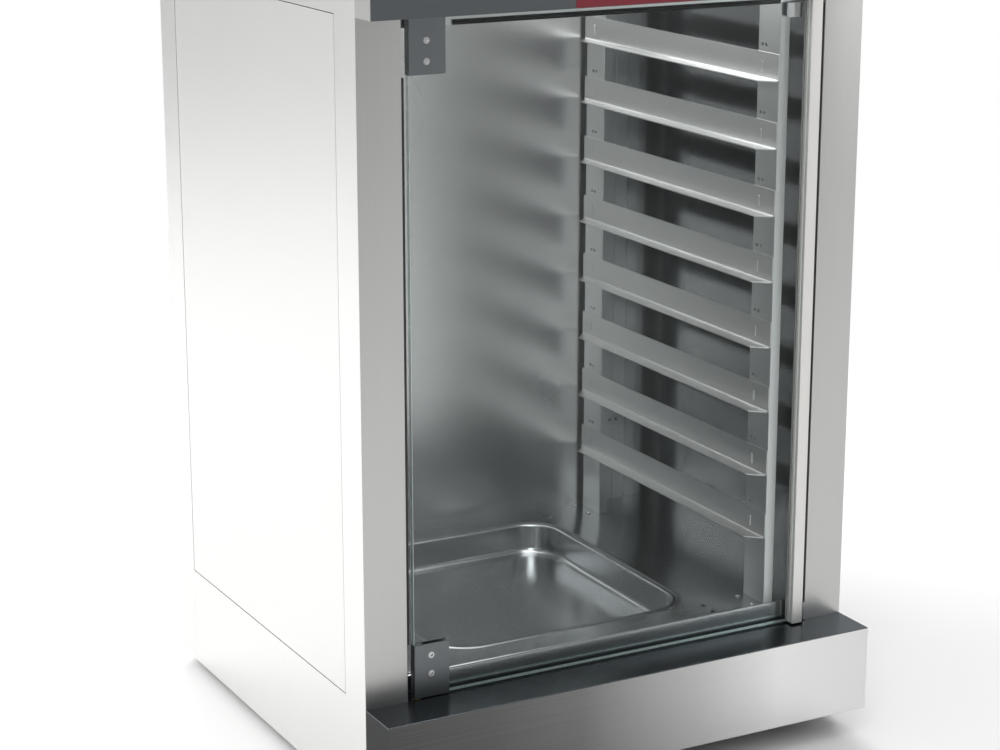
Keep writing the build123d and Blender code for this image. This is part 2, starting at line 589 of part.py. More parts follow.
def upright(name, side, end):
    """Channel upright with a hook slot and two square holes for each rail level."""
    face = RACK_LEFT if side < 0 else RACK_RIGHT
    deep = CHAMBER_HALF + RACK_LEFT if side < 0 else FOLD
    low_y = UPRIGHT_FRONTS[end]
    hook_y = low_y + HOOK_INSET[end]
    with BuildPart() as piece:
        xs = sorted((face, face + side * deep))
        block((xs[0], low_y, FLOOR_Z), (xs[1], low_y + UPRIGHT_W, CEILING_Z))
        fillet(piece.edges().filter_by(Axis.Z).filter_by_position(Axis.X, face - 0.1, face + 0.1), 1.5)
        inner = sorted((face + side * UPRIGHT_SHEET, face + side * deep))
        hollow(
            (inner[0], low_y + UPRIGHT_SHEET, FLOOR_Z),
            (inner[1], low_y + UPRIGHT_W - UPRIGHT_SHEET, CEILING_Z),
        )
        with BuildSketch(Plane.YZ.offset(face - side)):
            for rail_z in RAIL_ZS:
                with Locations((FRONT + hook_y, rail_z + HOOK_UP + HOOK_H / 2)):
                    Rectangle(HOOK_W, HOOK_H)
                with Locations((FRONT + hook_y, rail_z + PEG_UP)):
                    with GridLocations(PEG_GAP, 1, 2, 1):
                        Rectangle(PEG_HOLE, PEG_HOLE)
        extrude(amount=side * 3.0, mode=Mode.SUBTRACT)
    save(piece.part, name)


def rail(side, rail_z):
    """Adds one angle rail: a web against the uprights, a flange with cut corners, and two hooks."""
    face = RACK_LEFT if side < 0 else RACK_RIGHT
    inward = -side
    web = sorted((face, face + inward * SHEET))
    block((web[0], RAIL_FRONT, rail_z), (web[1], RAIL_BACK, rail_z + RAIL_WEB))
    with BuildSketch(Plane.XY.offset(rail_z)) as flange:
        with BuildLine():
            Polyline(
                (face, FRONT + RAIL_FRONT),
                (face + inward * RAIL_FLANGE, FRONT + RAIL_FRONT + RAIL_FLANGE),
                (face + inward * RAIL_FLANGE, FRONT + RAIL_BACK - RAIL_FLANGE),
                (face, FRONT + RAIL_BACK),
                close=True,
            )
        make_face()
    extrude(flange.sketch, amount=SHEET)
    for end, low_y in UPRIGHT_FRONTS.items():
        hook_y = low_y + HOOK_INSET[end]
        hook = sorted((face + inward * SHEET / 2, face + side * 5.0))
        block(
            (hook[0], hook_y - HOOK_W / 2 + 0.3, rail_z + HOOK_UP + 0.5),
            (hook[1], hook_y + HOOK_W / 2 - 0.3, rail_z + HOOK_UP + HOOK_H - 2),
        )


for side_name, side_sign in (("left", -1), ("right", 1)):
    for end_name in UPRIGHT_FRONTS:
        upright(f"upright_{side_name}_{end_name}", side_sign, end_name)
for number, level_z in enumerate(RAIL_ZS, start=1):
    with BuildPart() as rail_pair:
        rail(-1, level_z)
        rail(1, level_z)
    save(rail_pair.part, f"rail_pair_{number}")

RACK_SCREWS = [(x, FRONT + y) for x in (-244.0, 196.0) for y in (20.0, 50.0, 394.0, 428.0)]
RACK_HEAD_R, RACK_HEAD_T, RACK_HEAD_ROUND = 3.0, 1.8, 1.2
STRIP_HEAD_R, STRIP_HEAD_T = 2.4, 1.2
with BuildPart() as rack_screws:
    with BuildSketch(Plane.XY.offset(FLOOR_Z)):
        with Locations(*RACK_SCREWS):
            Circle(RACK_HEAD_R)
    extrude(amount=RACK_HEAD_T)
    fillet(rack_screws.edges().group_by(Axis.Z)[-1], RACK_HEAD_ROUND)
    with BuildSketch(front_plane(CHAMBER_BACK - STRIP_THICK)):
        with Locations((STRIP_LEFT + 4.0, STRIP_SCREW_Z), (STRIP_LEFT + 13.0, STRIP_SCREW_Z)):
            Circle(STRIP_HEAD_R)
    extrude(amount=STRIP_HEAD_T)
save(rack_screws.part, "rack_screws")

# ---------------------------------------------------------------------------
# Works
# ---------------------------------------------------------------------------

HEATER_X, HEATER_Y, HEATER_T = 110.0, 120.0, 4.0
basin_x = (BASIN_LEFT + BASIN_RIGHT) / 2
basin_y = (BASIN_FRONT + BASIN_BACK) / 2
basin_under = FLOOR_Z - BASIN_DEEP - SHEET
box_part(
    "basin_heater",
    (basin_x - HEATER_X, basin_y - HEATER_Y, basin_under - HEATER_T),
    (basin_x + HEATER_X, basin_y + HEATER_Y, basin_under),
    edge=6.0,
)
BULB_LEFT, BULB_L, BULB_R, BULB_Y, BULB_DROP = -60.0, 90.0, 3.0, CHAMBER_BACK - 20.0, 6.0
CLIP_XS, CLIP_W = (-50.0, 10.0), 10.0
with BuildPart() as thermostat_bulb:
    with BuildSketch(Plane.YZ.offset(BULB_LEFT)):
        with Locations((FRONT + BULB_Y, CEILING_Z - BULB_DROP)):
            Circle(BULB_R)
    extrude(amount=BULB_L)
    fillet(thermostat_bulb.edges(), BULB_R / 2)
    for clip_x in CLIP_XS:
        block(
            (clip_x, BULB_Y - CLIP_W / 2, CEILING_Z - CLIP_W),
            (clip_x + CLIP_W, BULB_Y + CLIP_W / 2, CEILING_Z),
        )
save(thermostat_bulb.part, "thermostat_bulb")
TERMINAL_X, TERMINAL_Y, TERMINAL_W, TERMINAL_D, TERMINAL_H = 215.0, 490.0, 50.0, 24.0, 18.0
WAY_PITCH, WAY_R, WAY_DEEP, WAYS = 12.0, 3.0, 8.0, 4
with BuildPart() as terminal_block:
    block(
        (TERMINAL_X - TERMINAL_W / 2, TERMINAL_Y - TERMINAL_D / 2, FOOT + SHEET),
        (TERMINAL_X + TERMINAL_W / 2, TERMINAL_Y + TERMINAL_D / 2, FOOT + SHEET + TERMINAL_H),
    )
    with BuildSketch(Plane.XY.offset(FOOT + SHEET + TERMINAL_H)):
        with Locations((TERMINAL_X, FRONT + TERMINAL_Y)):
            with GridLocations(WAY_PITCH, WAY_PITCH, WAYS, 2):
                Circle(WAY_R)
    extrude(amount=-WAY_DEEP, mode=Mode.SUBTRACT)
save(terminal_block.part, "terminal_block")

GLAND_NUT_R, GLAND_NUT_T, GLAND_IN = 13.0, 5.0, 12.0
with BuildPart() as cable_gland:
    with BuildSketch(front_plane(DEPTH)):
        with Locations((GLAND_X, GLAND_Z)):
            Circle(GLAND_R)
    extrude(amount=GLAND_IN)
    with BuildSketch(front_plane(DEPTH + GLAND_OUT)):
        with Locations((GLAND_X, GLAND_Z)):
            Circle(GLAND_R - 0.5)
    extrude(amount=GLAND_OUT)
    fillet(cable_gland.edges().group_by(Axis.Y)[-1], 3.0)
    for nut_y in (DEPTH + GLAND_NUT_T, DEPTH - SHEET):
        with BuildSketch(front_plane(nut_y)):
            with Locations((GLAND_X, GLAND_Z)):
                RegularPolygon(GLAND_NUT_R, 6)
        extrude(amount=GLAND_NUT_T)
    with BuildSketch(front_plane(DEPTH + GLAND_OUT)):
        with Locations((GLAND_X, GLAND_Z)):
            Circle(GLAND_BORE)
    extrude(amount=GLAND_OUT + GLAND_IN, mode=Mode.SUBTRACT)
save(cable_gland.part, "cable_gland")

# ---------------------------------------------------------------------------
# Door
# ---------------------------------------------------------------------------

GLASS_BACK = GLASS_FRONT + GLASS
NOTCH = 12.0  # corner of the glass cut away for the pivot block
CUT_PAST = 5.0
PLATE_T = 2.0
SCREW_X = -228.0
CLAMP_LOWS = {"bottom": DOOR_LOW, "top": DOOR_HIGH - CLAMP_H}
SCREW_LIFTS = {"bottom": (26.0, 47.0), "top": (13.0, 34.0)}
HINGE_SCREW_R, HINGE_HEAD_R = 2.0, 3.6
HEAD_SUNK, HEX_R, HEX_DEEP = 0.4, 2.0, 1.2
HINGE_SCREWS = [
    (SCREW_X, LEDGE_Z + CLAMP_LOWS[end] + lift) for end, lifts in SCREW_LIFTS.items() for lift in lifts
]

with BuildPart() as door_glass:
    block(
        (GLASS_LEFT, GLASS_FRONT, LEDGE_Z + DOOR_LOW + 1),
        (GLASS_RIGHT, GLASS_BACK, LEDGE_Z + DOOR_HIGH - 1),
    )
    for end, low in CLAMP_LOWS.items():
        below, above = (CUT_PAST, 0.0) if end == "bottom" else (0.0, CUT_PAST)
        hollow(
            (GLASS_LEFT - 1, GLASS_FRONT, LEDGE_Z + low - below),
            (GLASS_LEFT + NOTCH, GLASS_BACK, LEDGE_Z + low + CLAMP_H + above),
        )
    with BuildSketch(front_plane(GLASS_BACK)):
        with Locations(*HINGE_SCREWS):
            Circle(HINGE_SCREW_R + 1.0)
    extrude(amount=GLASS, mode=Mode.SUBTRACT)
save(door_glass.part, "door_glass")

with BuildPart() as hinge_plates:
    for low in CLAMP_LOWS.values():
        block(
            (GLASS_LEFT, GLASS_FRONT - PLATE_T, LEDGE_Z + low),
            (GLASS_LEFT + CLAMP_W, GLASS_FRONT, LEDGE_Z + low + CLAMP_H),
        )
    with BuildSketch(front_plane(GLASS_FRONT)):
        with Locations(*HINGE_SCREWS):
            Circle(HINGE_HEAD_R + 0.2)
    extrude(amount=PLATE_T, mode=Mode.SUBTRACT)
save(hinge_plates.part, "hinge_plates")

PIN_OUT, PIN_IN = 9.0, 20.0  # how far each pin stands out of its clamp and reaches into it
PIN_LOWS = {
    "bottom": LEDGE_Z + CLAMP_LOWS["bottom"] - PIN_OUT,
    "top": LEDGE_Z + CLAMP_LOWS["top"] + CLAMP_H - PIN_IN,
}
with BuildPart() as hinge_pins:
    for pin_low in PIN_LOWS.values():
        with BuildSketch(Plane.XY.offset(pin_low)):
            with Locations((PIVOT_X, FRONT + PIVOT_Y)):
                Circle(PIN_R)
        extrude(amount=PIN_OUT + PIN_IN)
save(hinge_pins.part, "hinge_pins")

with BuildPart() as hinge_clamps:
    for low in CLAMP_LOWS.values():
        low_z = LEDGE_Z + low
        block(
            (GLASS_LEFT, GLASS_BACK, low_z),
            (GLASS_LEFT + CLAMP_W, GLASS_BACK + PLATE_T, low_z + CLAMP_H),
        )
        block(
            (GLASS_LEFT, GLASS_FRONT, low_z),
            (GLASS_LEFT + NOTCH - 1.0, GLASS_BACK + PLATE_T, low_z + CLAMP_H),
        )
    with BuildSketch(front_plane(GLASS_BACK + PLATE_T)):
        with Locations(*HINGE_SCREWS):
            Circle(HINGE_SCREW_R)
    extrude(amount=PLATE_T, mode=Mode.SUBTRACT)
    add(hinge_pins.part, mode=Mode.SUBTRACT)
save(hinge_clamps.part, "hinge_clamps")

BUSH_FLANGE_R, BUSH_FLANGE_T, BUSH_L = 8.0, 2.0, 9.0
with BuildPart() as pivot_bushes:
    for away, start_z in ((-1, LEDGE_Z), (1, HEAD_Z)):
        with BuildSketch(Plane.XY.offset(start_z)):
            with Locations((PIVOT_X, FRONT + PIVOT_Y)):
                Circle(BUSH_R)
        extrude(amount=away * BUSH_L)
        with BuildSketch(Plane.XY.offset(start_z + away * SHEET)):
            with Locations((PIVOT_X, FRONT + PIVOT_Y)):
                Circle(BUSH_FLANGE_R)
        extrude(amount=away * BUSH_FLANGE_T)
        with BuildSketch(Plane.XY.offset(start_z)):
            with Locations((PIVOT_X, FRONT + PIVOT_Y)):
                Circle(PIN_R + RUNNING)
        extrude(amount=away * BUSH_L, mode=Mode.SUBTRACT)
save(pivot_bushes.part, "pivot_bushes")

with BuildPart() as hinge_screws:
    with BuildSketch(front_plane(GLASS_BACK + PLATE_T)):
        with Locations(*HINGE_SCREWS):
            Circle(HINGE_SCREW_R)
    extrude(amount=GLASS + 2 * PLATE_T - HEAD_SUNK)
    with BuildSketch(front_plane(GLASS_FRONT)):
        with Locations(*HINGE_SCREWS):
            Circle(HINGE_HEAD_R)
    extrude(amount=PLATE_T - HEAD_SUNK)
    with BuildSketch(front_plane(GLASS_FRONT - PLATE_T + HEAD_SUNK)):
        with Locations(*HINGE_SCREWS):
            RegularPolygon(HEX_R, 6)
    extrude(amount=-HEX_DEEP, mode=Mode.SUBTRACT)
save(hinge_screws.part, "hinge_screws")

# Handle: an extruded profile that grips the free edge of the glass
GRIP_LEFT, GRIP_RIGHT, GRIP_FRONT = 232.0, 246.0, -10.0
CAP_T = 3.5
with BuildPart() as door_handle:
    with BuildSketch(Plane.XY.offset(LEDGE_Z + 2.0)):
        with BuildLine():
            Polyline(
                (GRIP_LEFT, FRONT + GLASS_FRONT),
                (GRIP_LEFT, FRONT + GRIP_FRONT),
                (GRIP_RIGHT, FRONT + GRIP_FRONT),
                (GRIP_RIGHT, FRONT + GLASS_BACK + PLATE_T),
                (GRIP_LEFT + 3.0, FRONT + GLASS_BACK + PLATE_T),
                (GRIP_LEFT + 3.0, FRONT + GLASS_BACK),
                (GLASS_RIGHT, FRONT + GLASS_BACK),
                (GLASS_RIGHT, FRONT + GLASS_FRONT),
                close=True,
            )
        make_face()
    extrude(amount=DOOR_HIGH - CAP_T - 2.0)
    front_corners = door_handle.edges().filter_by(Axis.Z)
    front_corners = front_corners.filter_by_position(Axis.Y, FRONT + GRIP_FRONT - 1, FRONT + GRIP_FRONT + 1)
    fillet(front_corners, 1.0)
    hollow(
        (GRIP_LEFT - 1.0, -5.0, LEDGE_Z),
        (GRIP_LEFT + 1.0, -3.6, LEDGE_Z + DOOR_HIGH),
    )
save(door_handle.part, "door_handle")
box_part(
    "handle_cap",
    (GRIP_LEFT - 0.3, GRIP_FRONT - 0.3, LEDGE_Z + DOOR_HIGH - CAP_T),
    (GRIP_RIGHT + 0.3, GLASS_FRONT - 0.1, LEDGE_Z + DOOR_HIGH - 0.2),
    edge=1.2,
)
box_part(
    "strike_plate",
    (211.0, GLASS_BACK, HEADER_LOW - 15.0),
    (231.0, GLASS_BACK + 1.5, HEADER_LOW + 1.0),
    edge=0.6,
)
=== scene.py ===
"""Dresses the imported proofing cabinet: finishes, pressed and rounded sheet metal, seals, knobs and studio."""

import json
import logging
import math
from dataclasses import dataclass, field
from enum import Enum
from typing import Mapping, Sequence, Union

import bmesh
import bpy
import numpy as np
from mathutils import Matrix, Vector

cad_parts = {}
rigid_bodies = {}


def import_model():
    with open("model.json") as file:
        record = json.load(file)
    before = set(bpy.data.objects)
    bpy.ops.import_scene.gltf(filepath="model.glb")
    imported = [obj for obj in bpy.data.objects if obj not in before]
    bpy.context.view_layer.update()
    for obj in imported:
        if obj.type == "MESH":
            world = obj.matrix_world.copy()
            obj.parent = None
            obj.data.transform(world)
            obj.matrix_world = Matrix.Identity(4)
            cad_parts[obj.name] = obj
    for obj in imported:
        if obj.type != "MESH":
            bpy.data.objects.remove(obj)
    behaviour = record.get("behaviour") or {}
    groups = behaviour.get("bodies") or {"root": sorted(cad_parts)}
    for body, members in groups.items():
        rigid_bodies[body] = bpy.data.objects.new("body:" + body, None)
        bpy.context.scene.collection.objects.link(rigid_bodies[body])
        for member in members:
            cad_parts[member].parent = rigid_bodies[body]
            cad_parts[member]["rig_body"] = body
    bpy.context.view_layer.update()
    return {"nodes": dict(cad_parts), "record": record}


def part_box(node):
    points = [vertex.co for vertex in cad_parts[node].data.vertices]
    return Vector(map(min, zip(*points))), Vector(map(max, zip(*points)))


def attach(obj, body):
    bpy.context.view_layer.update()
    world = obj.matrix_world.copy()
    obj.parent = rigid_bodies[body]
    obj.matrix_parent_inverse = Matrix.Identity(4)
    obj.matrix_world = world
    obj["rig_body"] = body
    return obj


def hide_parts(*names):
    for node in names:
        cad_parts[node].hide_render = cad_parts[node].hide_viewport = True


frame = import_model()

LOG = logging.getLogger("proofing_cabinet")
MM = 0.001
NOISE_ROUGHNESS = 0.55
Colour = tuple[float, float, float]
Piece = bpy.types.Object
Value = Union[float, int, "Sock", Sequence[float]]


# Shader maths


@dataclass(frozen=True)
class Sock:
    """A number flowing through a material's nodes. Arithmetic on it adds Math nodes."""

    graph: "Graph"
    link: bpy.types.NodeSocket

    def _math(self, operation: str, first: Value, second: Value) -> "Sock":
        """Adds one Math node."""
        return self.graph.node("ShaderNodeMath", {"operation": operation}, {0: first, 1: second})

    def __add__(self, other: Value) -> "Sock":
        """self + other."""
        return self._math("ADD", self, other)

    def __radd__(self, other: Value) -> "Sock":
        """other + self."""
        return self._math("ADD", other, self)

    def __sub__(self, other: Value) -> "Sock":
        """self - other."""
        return self._math("SUBTRACT", self, other)

    def __rsub__(self, other: Value) -> "Sock":
        """other - self."""
        return self._math("SUBTRACT", other, self)

    def __mul__(self, other: Value) -> "Sock":
        """self * other."""
        return self._math("MULTIPLY", self, other)

    def __rmul__(self, other: Value) -> "Sock":
        """other * self."""
        return self._math("MULTIPLY", other, self)

    def above(self, limit: float) -> "Sock":
        """1 where self is over the limit, else 0."""
        return self._math("GREATER_THAN", self, limit)

    def below(self, limit: float) -> "Sock":
        """1 where self is under the limit, else 0."""
        return self._math("LESS_THAN", self, limit)

    def either(self, other: "Sock") -> "Sock":
        """The larger of two values."""
        return self._math("MAXIMUM", self, other)

    def size(self) -> "Sock":
        """self without its sign."""
        return self._math("ABSOLUTE", self, 0.0)

    def ramp(self, *stops: tuple[float, float]) -> "Sock":
        """A grey ramp through (position, value) stops."""
        return self.graph.node("ShaderNodeValToRGB", {"stops": stops}, {"Fac": self})


@dataclass
class Graph:
    """The node tree of one material or world."""

    owner: bpy.types.ID
    ending: str = "ShaderNodeOutputMaterial"

    def __post_init__(self) -> None:
        """Starts the tree with an output node alone."""
        self.owner.use_nodes = True
        self.tree = self.owner.node_tree
        self.tree.nodes.clear()
        self.output = self.tree.nodes.new(self.ending)

    def node(
        self,
        kind: str,
        settings: Mapping[str, object] | None = None,
        inputs: Mapping[int | str, Value] | None = None,
        out: int | str = 0,
    ) -> Sock:
        """Adds any node.

        Args:
            kind: Blender's type name for the node.
            settings: the node's own properties, set first; "stops" fills a colour ramp.
            inputs: values or links by socket name or number.
            out: which output to hand back.

        Returns:
            The chosen output as a Sock.
        """
        made = self.tree.nodes.new(kind)
        for key, value in (settings or {}).items():
            if key == "stops":
                self._stops(made.color_ramp, value)
            else:
                setattr(made, key, value)
        for key, value in (inputs or {}).items():
            if isinstance(value, Sock):
                self.tree.links.new(value.link, made.inputs[key])
            else:
                made.inputs[key].default_value = value
        return Sock(self, made.outputs[out])

    @staticmethod
    def _stops(ramp: bpy.types.ColorRamp, stops: Sequence[tuple[float, float]]) -> None:
        """Sets a ramp's grey stops. Its ends are placed first, because Blender sorts stops as they come.

        Args:
            ramp: the ramp.
            stops: (position, value) rows in order.
        """
        ramp.elements[0].position = stops[0][0]
        ramp.elements[1].position = stops[-1][0]
        for at, _ in stops[1:-1]:
            ramp.elements.new(at)
        for element, (_, level) in zip(ramp.elements, stops):
            element.color = (level, level, level, 1.0)

    def place(self) -> Sock:
        """Object coordinates."""
        return self.node("ShaderNodeTexCoord", out="Object")

    def axis(self, name: str) -> Sock:
        """One object coordinate, in metres."""
        return self.node("ShaderNodeSeparateXYZ", inputs={0: self.place()}, out=name)

    def noise(self, scale: Sequence[float], detail: float = 3.0) -> Sock:
        """Noise stretched by a separate scale on each axis, about 0 to 1."""
        stretched = self.node("ShaderNodeMapping", inputs={"Vector": self.place(), "Scale": tuple(scale)})
        return self.node(
            "ShaderNodeTexNoise",
            inputs={"Vector": stretched, "Scale": 1.0, "Detail": detail, "Roughness": NOISE_ROUGHNESS},
        )

    def blend(self, factor: Value, first: Value, second: Value) -> Sock:
        """Mixes two colours."""
        return self.node(
            "ShaderNodeMix",
            {"data_type": "RGBA", "clamp_factor": True},
            {0: factor, 6: first, 7: second},
            out=2,
        )

    def bump(self, height: Sock, distance: float, strength: float = 1.0) -> Sock:
        """Turns a height into a normal; distance is in metres."""
        return self.node(
            "ShaderNodeBump", inputs={"Height": height, "Distance": distance, "Strength": strength}
        )

    def principled(self, **inputs: Value) -> Sock:
        """A Principled shader; keyword names stand for socket names with underscores as spaces."""
        named = {key.replace("_", " "): value for key, value in inputs.items()}
        return self.node("ShaderNodeBsdfPrincipled", inputs=named)

    def finish(self, shader: Sock) -> None:
        """Links the shader to the output."""
        self.tree.links.new(shader.link, self.output.inputs["Surface"])


def rgba(colour: Colour, gain: float = 1.0) -> tuple[float, float, float, float]:
    """A colour made lighter or darker, with alpha 1."""
    return (*(min(1.0, channel * gain) for channel in colour), 1.0)


# Finishes


class Grain(Enum):
    """Which way sheet metal is brushed, as noise scales per metre on X, Y and Z."""

    ALONG_X = (5.0, 1400.0, 1400.0)
    ALONG_Y = (1400.0, 5.0, 1400.0)
    ALONG_Z = (1400.0, 1400.0, 5.0)


@dataclass(frozen=True)
class Finish:
    """A named surface finish."""

    name: str

    def wire(self, graph: Graph) -> Sock:
        """Builds the shader.

        Args:
            graph: the material's nodes.

        Returns:
            The shader.
        """
        raise NotImplementedError

    def material(self) -> bpy.types.Material:
        """The finish as a material, made once."""
        full_name = f"{self.name}_finish"
        known = bpy.data.materials.get(full_name)
        if known:
            return known
        made = bpy.data.materials.new(full_name)
        graph = Graph(made)
        graph.finish(self.wire(graph))
        return made

    def dress(self, *objects: Piece) -> None:
        """Puts the finish on objects and logs each.

        Args:
            objects: what to dress.
        """
        for obj in objects:
            LOG.info("%s is dressed in %s", obj.name, self.name)
            if obj.material_slots:
                for place in obj.material_slots:
                    place.material = self.material()
            else:
                obj.data.materials.append(self.material())


@dataclass(frozen=True)
class BrushedSteel(Finish):
    """Stainless sheet with a brushed grain, faint clouds and handling marks."""

    tone: Colour = (0.62, 0.62, 0.61)
    rough: float = 0.30
    grain: Grain = Grain.ALONG_Z
    contrast: float = 0.10
    # painted light: the tone of faces further out than seam_x, the lit sides, lighter than the front
    painted_lit_side_tone: Colour | None = None
    # painted shade: steel further in than seam_x and behind seam_y is painted near-black as seam shade
    seam_x: float = 0.0
    seam_y: float = -9.0

    def wire(self, graph: Graph) -> Sock:
        """Fine streaks and slow clouds vary colour and roughness; the streaks are also a shallow bump.

        With a seam_x, whatever lies further in than that and behind seam_y is painted near-black as the shade
        inside a seam, and whatever lies further out takes the side's tone, painted light that shows the lit
        side lighter than the front.
        """
        fine = graph.noise(self.grain.value, detail=2.0)
        broad = graph.noise([scale / 7 for scale in self.grain.value], detail=3.0)
        clouds = graph.noise((3.0, 3.0, 3.0), detail=2.0)
        streaks = fine * 0.6 + broad * 0.4
        level = streaks * self.contrast + clouds * (self.contrast * 0.6)
        colour = graph.blend(level * 4.0, rgba(self.tone, 0.86), rgba(self.tone, 1.10))
        # painted light: faces past seam_x, the sides, get a lighter tone than the front of the same sheet
        if self.painted_lit_side_tone:
            side = graph.blend(level * 4.0, rgba(self.painted_lit_side_tone, 0.93), rgba(self.painted_lit_side_tone, 1.05))
            colour = graph.blend(graph.axis("X").size().above(self.seam_x + 0.0002), colour, side)
        # painted shade: steel inside a seam is painted near-black
        if self.seam_x:
            inside = graph.axis("X").size().below(self.seam_x) * graph.axis("Y").above(self.seam_y)
            colour = graph.blend(inside, colour, rgba((0.012, 0.012, 0.012)))
        return graph.principled(
            Base_Color=colour,
            Metallic=1.0,
            Roughness=streaks * 0.14 + clouds * 0.06 + (self.rough - 0.10),
            Normal=graph.bump(streaks, 0.00006, 0.35),
        )


@dataclass(frozen=True)
class LedgeSteel(Finish):
    """The plinth's sheet with painted reflection: its polished top painted dark, its brushed front painted
    darker towards the hinge side.
    """

    top_z: float = 0.133
    half_width: float = 0.306

    def wire(self, graph: Graph) -> Sock:
        """The top is where Z is within a millimetre of the ledge; the front's painted reflection tone follows
        X.
        """
        on_top = graph.axis("Z").above(self.top_z - 0.0011)
        streaks = graph.noise(Grain.ALONG_X.value, detail=2.0)
        clouds = graph.noise((2.0, 8.0, 8.0), detail=3.0)
        across = graph.axis("X") * (0.5 / self.half_width) + 0.5
        # painted reflection: the front's colour ramps from near-black at the hinge side to light grey at the
        # other end
        painted_reflection_tone = across.ramp(
            (0.0, 0.05), (0.20, 0.09), (0.38, 0.17), (0.62, 0.50), (0.80, 0.82), (1.0, 0.76)
        )
        front = graph.blend(streaks * 0.12, painted_reflection_tone, rgba((0.72, 0.71, 0.70)))
        # painted reflection: the top of the same sheet is painted dark grey
        top = graph.blend(clouds * 0.6, rgba((0.180, 0.194, 0.203)), rgba((0.225, 0.240, 0.250)))
        return graph.principled(
            Base_Color=graph.blend(on_top, front, top),
            Metallic=1.0,
            Specular_Tint=rgba((0.45, 0.46, 0.47)),
            Roughness=graph.blend(on_top, streaks * 0.12 + 0.26, clouds * 0.08 + 0.20),
            Normal=graph.bump(streaks, 0.00005, 0.3),
        )


@dataclass(frozen=True)
class ChamberSteel(Finish):
    """Bright rolled sheet inside the chamber: a soft mirror with slow waves and faint rolling lines."""

    tone: Colour = (0.66, 0.66, 0.66)
    rough: float = 0.27
    waves: float = 0.0009

    def wire(self, graph: Graph) -> Sock:
        """Slow waves bend the reflections, clouds vary the roughness and upright lines vary the tone."""
        waves = graph.noise((2.6, 2.6, 1.5), detail=1.5)
        lines = graph.noise((260.0, 260.0, 4.0), detail=1.0)
        clouds = graph.noise((5.0, 5.0, 5.0), detail=0.0)
        smudges = clouds.ramp((0.20, 0.0), (0.80, 1.0))
        colour = graph.blend(smudges * 0.5 + lines * 0.2, rgba(self.tone, 0.97), rgba(self.tone, 1.05))
        return graph.principled(
            Base_Color=colour,
            Metallic=1.0,
            Roughness=smudges * 0.03 + (self.rough - 0.02),
            Normal=graph.bump(waves, self.waves),
        )


@dataclass(frozen=True)
class Moulded(Finish):
    """Moulded plastic or rubber with a fine spark-eroded texture."""

    tone: Colour = (0.03, 0.03, 0.03)
    rough: float = 0.45
    texture: float = 0.00004
    pitch: float = 2600.0

    def wire(self, graph: Graph) -> Sock:
        """A fine even noise is the texture; a slow one is wear that polishes and greys it."""
        pits = graph.noise((self.pitch,) * 3, detail=2.0)
        wear = graph.noise((30.0, 30.0, 30.0), detail=4.0).ramp((0.45, 0.0), (0.75, 1.0))
        lighter = tuple(channel * 1.35 + 0.012 for channel in self.tone)
        return graph.principled(
            Base_Color=graph.blend(wear * 0.7 + pits * 0.2, rgba(self.tone), rgba(lighter)),
            Roughness=pits * 0.12 - wear * 0.08 + (self.rough - 0.03),
            Normal=graph.bump(pits, self.texture, 0.6),
        )


@dataclass(frozen=True)
class Paint(Finish):
    """Baked enamel with orange peel."""

    tone: Colour = (0.10, 0.11, 0.12)
    rough: float = 0.32

    def wire(self, graph: Graph) -> Sock:
        """A soft ripple is the peel; clouds vary tone and gloss a little."""
        peel = graph.noise((420.0, 420.0, 420.0), detail=1.0)
        clouds = graph.noise((9.0, 9.0, 9.0), detail=3.0)
        return graph.principled(
            Base_Color=graph.blend(clouds * 0.5 + peel * 0.15, rgba(self.tone, 0.93), rgba(self.tone, 1.12)),
            Roughness=clouds * 0.08 + (self.rough - 0.04),
            Coat_Weight=0.12,
            Coat_Roughness=0.2,
            Normal=graph.bump(peel, 0.00003, 0.5),
        )


@dataclass(frozen=True)
class DoorGlass(Finish):
    """Clear toughened pane: see-through with a faint tint, a mirror at a slant, and a bright edge."""

    low_x: float = -0.248
    low_z: float = 0.135
    tint: Colour = (0.94, 0.955, 0.953)
    edge_depth: float = 0.0006

    def wire(self, graph: Graph) -> Sock:
        """A clear sheet turns to a mirror at a slant.

        The mirror's share is a hundredth, plus half the fourth power of the slant, which goes from 0 face on to
        1 edge on, plus faint smears. The cut edge is frosted.
        """
        smears = graph.noise((9.0, 9.0, 2.0), detail=1.0).ramp((0.25, 0.0), (0.85, 1.0))
        frost = graph.noise((700.0, 700.0, 700.0), detail=2.0)
        slant = graph.node("ShaderNodeLayerWeight", inputs={"Blend": 0.5}, out="Facing")
        facing = slant * slant * slant * slant * 0.5
        side_edge = graph.axis("X").below(self.low_x + self.edge_depth)
        edge = side_edge.either(graph.axis("Z").below(self.low_z + self.edge_depth))
        clear = graph.node("ShaderNodeBsdfTransparent", inputs={"Color": rgba(self.tint)})
        cut_edge = graph.blend(frost, rgba((0.5, 0.62, 0.6)), rgba((0.8, 0.9, 0.88)))
        mirror = graph.principled(
            Base_Color=graph.blend(edge, rgba((0.55, 0.58, 0.58)), cut_edge),
            Metallic=0.9,
            Roughness=edge * 0.25 + frost * 0.01 + 0.02,
        )
        return graph.node(
            "ShaderNodeMixShader",
            inputs={0: facing + smears * 0.004 + edge * 0.65 + 0.010, 1: clear, 2: mirror},
        )


@dataclass(frozen=True)
class Anodised(Finish):
    """Satin anodised extrusion with faint die lines along Z."""

    tone: Colour = (0.80, 0.79, 0.77)
    rough: float = 0.42

    def wire(self, graph: Graph) -> Sock:
        """Die lines run the whole length, so their noise hardly changes along Z."""
        lines = graph.noise((2200.0, 2200.0, 1.2), detail=1.0)
        satin = graph.noise((3000.0, 3000.0, 3000.0), detail=1.0)
        return graph.principled(
            Base_Color=graph.blend(lines * 0.5 + satin * 0.3, rgba(self.tone, 0.93), rgba(self.tone, 1.08)),
            Metallic=0.92,
            Roughness=lines * 0.08 + satin * 0.06 + (self.rough - 0.07),
            Normal=graph.bump(lines, 0.00003, 0.4),
        )


